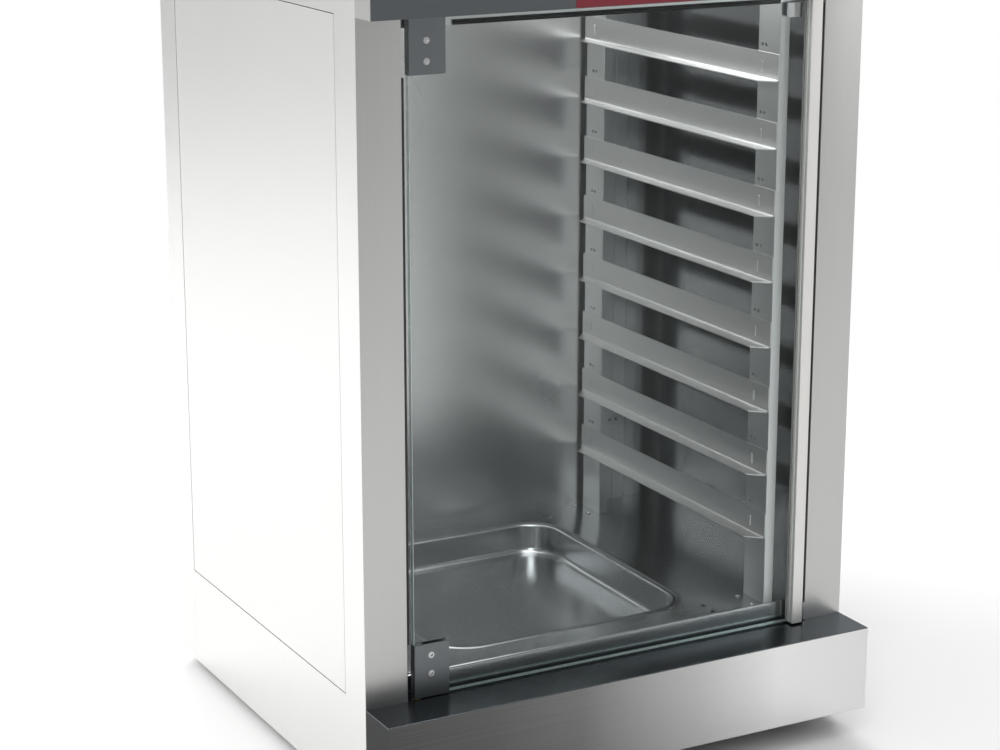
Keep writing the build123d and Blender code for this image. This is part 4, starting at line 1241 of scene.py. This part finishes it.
@dataclass
class ControlHead:
    """Housing, fascia, knobs, switch, lamps and printed marks."""

    knob_r: float = 17.0 * MM
    knob_deep: float = 15.0 * MM
    flutes: int = 24
    ticks: int = 11
    sweep: float = 300.0
    tick_gap: float = 3.0 * MM
    long_tick: float = 6.0 * MM
    short_tick: float = 3.5 * MM
    tick_half: float = 0.45 * MM
    shaft_r: float = 3.0 * MM
    ease: float = 0.4 * MM
    badge_ease: float = 0.2 * MM

    def build(self) -> None:
        """Dresses the housing and makes the knobs and marks."""
        nodes = frame["nodes"]
        softened("control_housing", self.ease, FINISH.flat_casing)
        softened("control_fascia", self.ease, FINISH.fascia)
        softened("badge_plate", self.badge_ease, FINISH.badge)
        softened("switch_body", self.ease, FINISH.plastic)
        softened("power_rocker", self.ease, FINISH.rocker)
        FINISH.plastic.dress(nodes["regulators"])
        FINISH.lamp.dress(nodes["pilot_lamps"])
        for name in ("thermostat", "humidity"):
            self.knob(name)
            self.dial(name)

    def knob(self, name: str) -> None:
        """A fluted knob with a dished face, a skirt, a pointer line and its shaft.

        Args:
            name: the knob's body.
        """
        low, high = corners(f"{name}_knob")
        x, z = (low[0] + high[0]) / 2, (low[2] + high[2]) / 2
        rise = np.linspace(0.0, 1.0, 13)
        deep, r = self.knob_deep, self.knob_r
        skirt = np.array([(0.1 * MM, 0, 0), (r, 0, 0), (r, 2.0 * MM, 0), (r - 1.6 * MM, 3.2 * MM, 0.3)])
        wall_r = r - 1.8 * MM - 1.2 * MM * rise
        wall = np.stack((wall_r, 3.6 * MM + rise * (deep - 5.4 * MM), 0 * rise + 1), axis=1)
        turn = np.linspace(0, np.pi / 2, 6)
        shoulder = np.stack(
            (
                wall_r[-1] - 1.6 * MM * (1 - np.cos(turn)),
                deep - 1.8 * MM + 1.6 * MM * np.sin(turn),
                1 - turn / 1.6,
            ),
            axis=1,
        )
        dish_r = np.linspace(wall_r[-1] - 2.0 * MM, 0.1 * MM, 8)
        dish_y = deep - 0.2 * MM - 0.7 * MM * (1 - (dish_r / dish_r[0]) ** 2)
        dish = np.stack((dish_r, dish_y, 0 * dish_r), axis=1)
        profile = np.concatenate((skirt, wall, shoulder, dish))
        base_y = low[1] + deep
        body = revolve(
            f"{name}_knob_body", profile, (x, base_y, z), 192, self.flutes, 0.9 * MM, along_y=True
        )
        shaft_profile = np.array([(self.shaft_r, 0.0, 0.0), (self.shaft_r, high[1] - base_y, 0.0)])
        shaft = revolve("shaft", shaft_profile, (x, high[1], z), 32, along_y=True)
        body = join(f"{name}_knob_body", [body, shaft])
        place(body, name, FINISH.plastic, f"{name}_knob")
        pointer = rounded_box(
            f"{name}_pointer",
            (x - 0.8 * MM, base_y - deep, z + 3 * MM),
            (x + 0.8 * MM, base_y - deep + 1.2 * MM, z + r - 5 * MM),
            0.25 * MM,
        )
        place(pointer, name, FINISH.marks, slot="black_plastic")

    def dial(self, name: str) -> None:
        """Printed ticks round a knob, each a thin bar along a radius; the first and last mark the stops.

        Args:
            name: the knob's body.
        """
        low, high = corners(f"{name}_knob")
        x, z = (low[0] + high[0]) / 2, (low[2] + high[2]) / 2
        y = corners("control_fascia")[0][1]
        turn = np.radians(90.0 - np.linspace(0.0, self.sweep, self.ticks))
        reach = np.where(np.arange(self.ticks) % 5 == 0, self.long_tick, self.short_tick)
        inner = self.knob_r + self.tick_gap
        along = np.stack((np.cos(turn), np.sin(turn)), axis=1)
        across = np.stack((-np.sin(turn), np.cos(turn)), axis=1) * self.tick_half
        near = along * inner
        far = along * (inner + reach)[:, None]
        flat = np.stack((near - across, far - across, far + across, near + across), axis=1)
        face_y = np.full(flat.shape[:2], y - 0.12 * MM)
        front = np.stack((x + flat[..., 0], face_y, z + flat[..., 1]), axis=-1)
        back = front + np.array((0.0, 0.10 * MM, 0.0))
        points = np.concatenate((front, back), axis=1)
        corner_lists = np.array(
            [(0, 1, 2, 3), (7, 6, 5, 4), (0, 4, 5, 1), (1, 5, 6, 2), (2, 6, 7, 3), (3, 7, 4, 0)]
        )
        faces = (corner_lists[None] + 8 * np.arange(self.ticks)[:, None, None]).reshape(-1, 4)
        marks = mesh_object(f"{name}_dial_marks", points, faces.tolist())
        face_outwards(marks)
        place(marks, "cabinet", FINISH.marks, slot="fascia")


@dataclass
class Door:
    """Pane, clamps, handle and strike."""

    ease: float = 0.4 * MM
    strike_ease: float = 0.3 * MM

    def build(self) -> None:
        """Dresses the pane and pins and eases the clamps, strike and handle."""
        nodes = frame["nodes"]
        FINISH.glass.dress(nodes["door_glass"])
        softened("hinge_plates", self.ease, FINISH.clamp)
        softened("hinge_clamps", self.ease, FINISH.clamp)
        FINISH.fastener.dress(nodes["hinge_pins"], nodes["hinge_screws"])
        softened("strike_plate", self.strike_ease, FINISH.fastener)
        softened("handle_cap", self.ease, FINISH.plastic)
        softened("door_handle", self.ease, FINISH.handle)


@dataclass
class Works:
    """Heater, bulb, terminals and the cable gland."""

    ease: float = 0.4 * MM

    def build(self) -> None:
        """Dresses the hidden works and eases the gland."""
        nodes = frame["nodes"]
        FINISH.heater.dress(nodes["basin_heater"])
        FINISH.fastener.dress(nodes["thermostat_bulb"])
        FINISH.white.dress(nodes["terminal_block"])
        softened("cable_gland", self.ease, FINISH.plastic)


@dataclass
class Studio:
    """Floor, lights and camera."""

    eye: tuple[float, float, float] = (-1.3026, -2.4014, 1.1436)
    yaw: float = 28.28
    pitch: float = 15.22
    lens: float = 87.0

    def build(self) -> None:
        """Sets the stage. Colours are shown as they are, with no film curve."""
        bpy.context.scene.view_settings.view_transform = "Standard"
        self.floor()
        self.world()
        self.softbox("key_left", (-2.4, 1.8, 2.6), (-0.9, 0.8, 0.0), (2.6, 2.6), 66.0, mirrored=False)
        self.softbox("back_fill", (1.6, 2.6, 2.4), (0.6, 1.0, 0.0), (2.6, 2.0), 70.0, mirrored=False)
        self.softbox("front_right", (2.2, -2.4, 1.3), (0.2, -0.2, 0.4), (1.0, 1.8), 9.0)
        self.softbox("overhead", (-0.2, -1.2, 2.6), (0, 0, 0.3), (1.6, 1.0), 10.0)
        self.softbox("chamber_top", (0.05, -0.03, 0.858), (0.05, -0.03, 0.0), (0.40, 0.30), 1.3)
        self.softbox("front_left", (-1.5, -2.2, 2.0), (0.15, 0.0, 0.5), (1.2, 1.4), 17.0)
        self.camera()

    @staticmethod
    def floor() -> None:
        """A pale floor that turns into the white backdrop away from the cabinet, as a cove does."""
        size = 14.0
        points = np.array([(-size, -size, 0), (size, -size, 0), (size, size, 0), (-size, size, 0)])
        ground = mesh_object("studio_floor", points, [(0, 1, 2, 3)])
        material = bpy.data.materials.new("studio_floor")
        graph = Graph(material)
        mottle = graph.noise((1.5, 1.5, 1.5), detail=3.0)
        tone = graph.blend(mottle, rgba((0.90, 0.90, 0.90)), rgba((0.94, 0.94, 0.935)))
        matt = graph.principled(Base_Color=tone, Roughness=0.7)
        away = graph.node("ShaderNodeVectorMath", {"operation": "LENGTH"}, {0: graph.place()}, out="Value")
        seen = graph.node("ShaderNodeLightPath", out="Is Camera Ray")
        white = graph.node("ShaderNodeEmission", inputs={"Strength": 1.0})
        cove = (away * 0.4).ramp((0.22, 0.0), (0.80, 1.0)) * seen
        graph.finish(graph.node("ShaderNodeMixShader", inputs={0: cove, 1: matt, 2: white}))
        ground.data.materials.append(material)

    @staticmethod
    def world() -> None:
        """A studio that is bright behind and left of the cabinet and dimmer in front, on a white backdrop."""
        world = bpy.data.worlds.new("studio_sky")
        graph = Graph(world, "ShaderNodeOutputWorld")
        direction = graph.node("ShaderNodeTexCoord", out="Generated")
        along_x = graph.node("ShaderNodeSeparateXYZ", inputs={0: direction}, out="X")
        along_y = graph.node("ShaderNodeSeparateXYZ", inputs={0: direction}, out="Y")
        level = (along_y * 0.8 - along_x * 0.5) * 0.5 + 0.5
        light = level.ramp((0.0, 0.22), (0.35, 0.32), (0.62, 0.85), (1.0, 1.0)) * 0.98
        seen = graph.node("ShaderNodeLightPath", out="Is Camera Ray")
        graph.finish(graph.node("ShaderNodeBackground", inputs={0: rgba((1, 1, 1)), 1: light.either(seen)}))
        bpy.context.scene.world = world

    @staticmethod
    def softbox(
        name: str,
        at: Sequence[float],
        to: Sequence[float],
        size: Sequence[float],
        power: float,
        mirrored: bool = True,
    ) -> None:
        """A rectangular light.

        Args:
            name: its name.
            at: where it is.
            to: the point it faces.
            size: its two sides.
            power: its strength in watts.
            mirrored: whether reflections show it.
        """
        light = bpy.data.lights.new(name, "AREA")
        light.shape = "RECTANGLE"
        light.size, light.size_y = size
        light.energy = power
        lamp = bpy.data.objects.new(name, light)
        lamp.location = at
        direction = np.asarray(to, float) - np.asarray(at, float)
        lamp.visible_camera = False
        lamp.visible_glossy = mirrored
        lamp.rotation_mode = "QUATERNION"
        lamp.rotation_quaternion = Vector(direction).to_track_quat("-Z", "Y")
        bpy.context.scene.collection.objects.link(lamp)

    def camera(self) -> None:
        """The camera at the cabinet's three-quarter view."""
        data = bpy.data.cameras.new("view")
        data.lens = self.lens
        data.sensor_width = 36.0
        made = bpy.data.objects.new("view", data)
        made.location = self.eye
        made.rotation_euler = (math.radians(90.0 - self.pitch), 0.0, math.radians(-self.yaw))
        bpy.context.scene.collection.objects.link(made)
        bpy.context.scene.camera = made


def main() -> None:
    """Builds every sub-assembly."""
    logging.basicConfig(level=logging.INFO, format="%(name)s: %(message)s")
    for assembly in (Studio(), Casing(), Chamber(), Rack(), ControlHead(), Door(), Works()):
        LOG.info("building %s", type(assembly).__name__)
        assembly.build()


if __name__ == "__main__":
    main()
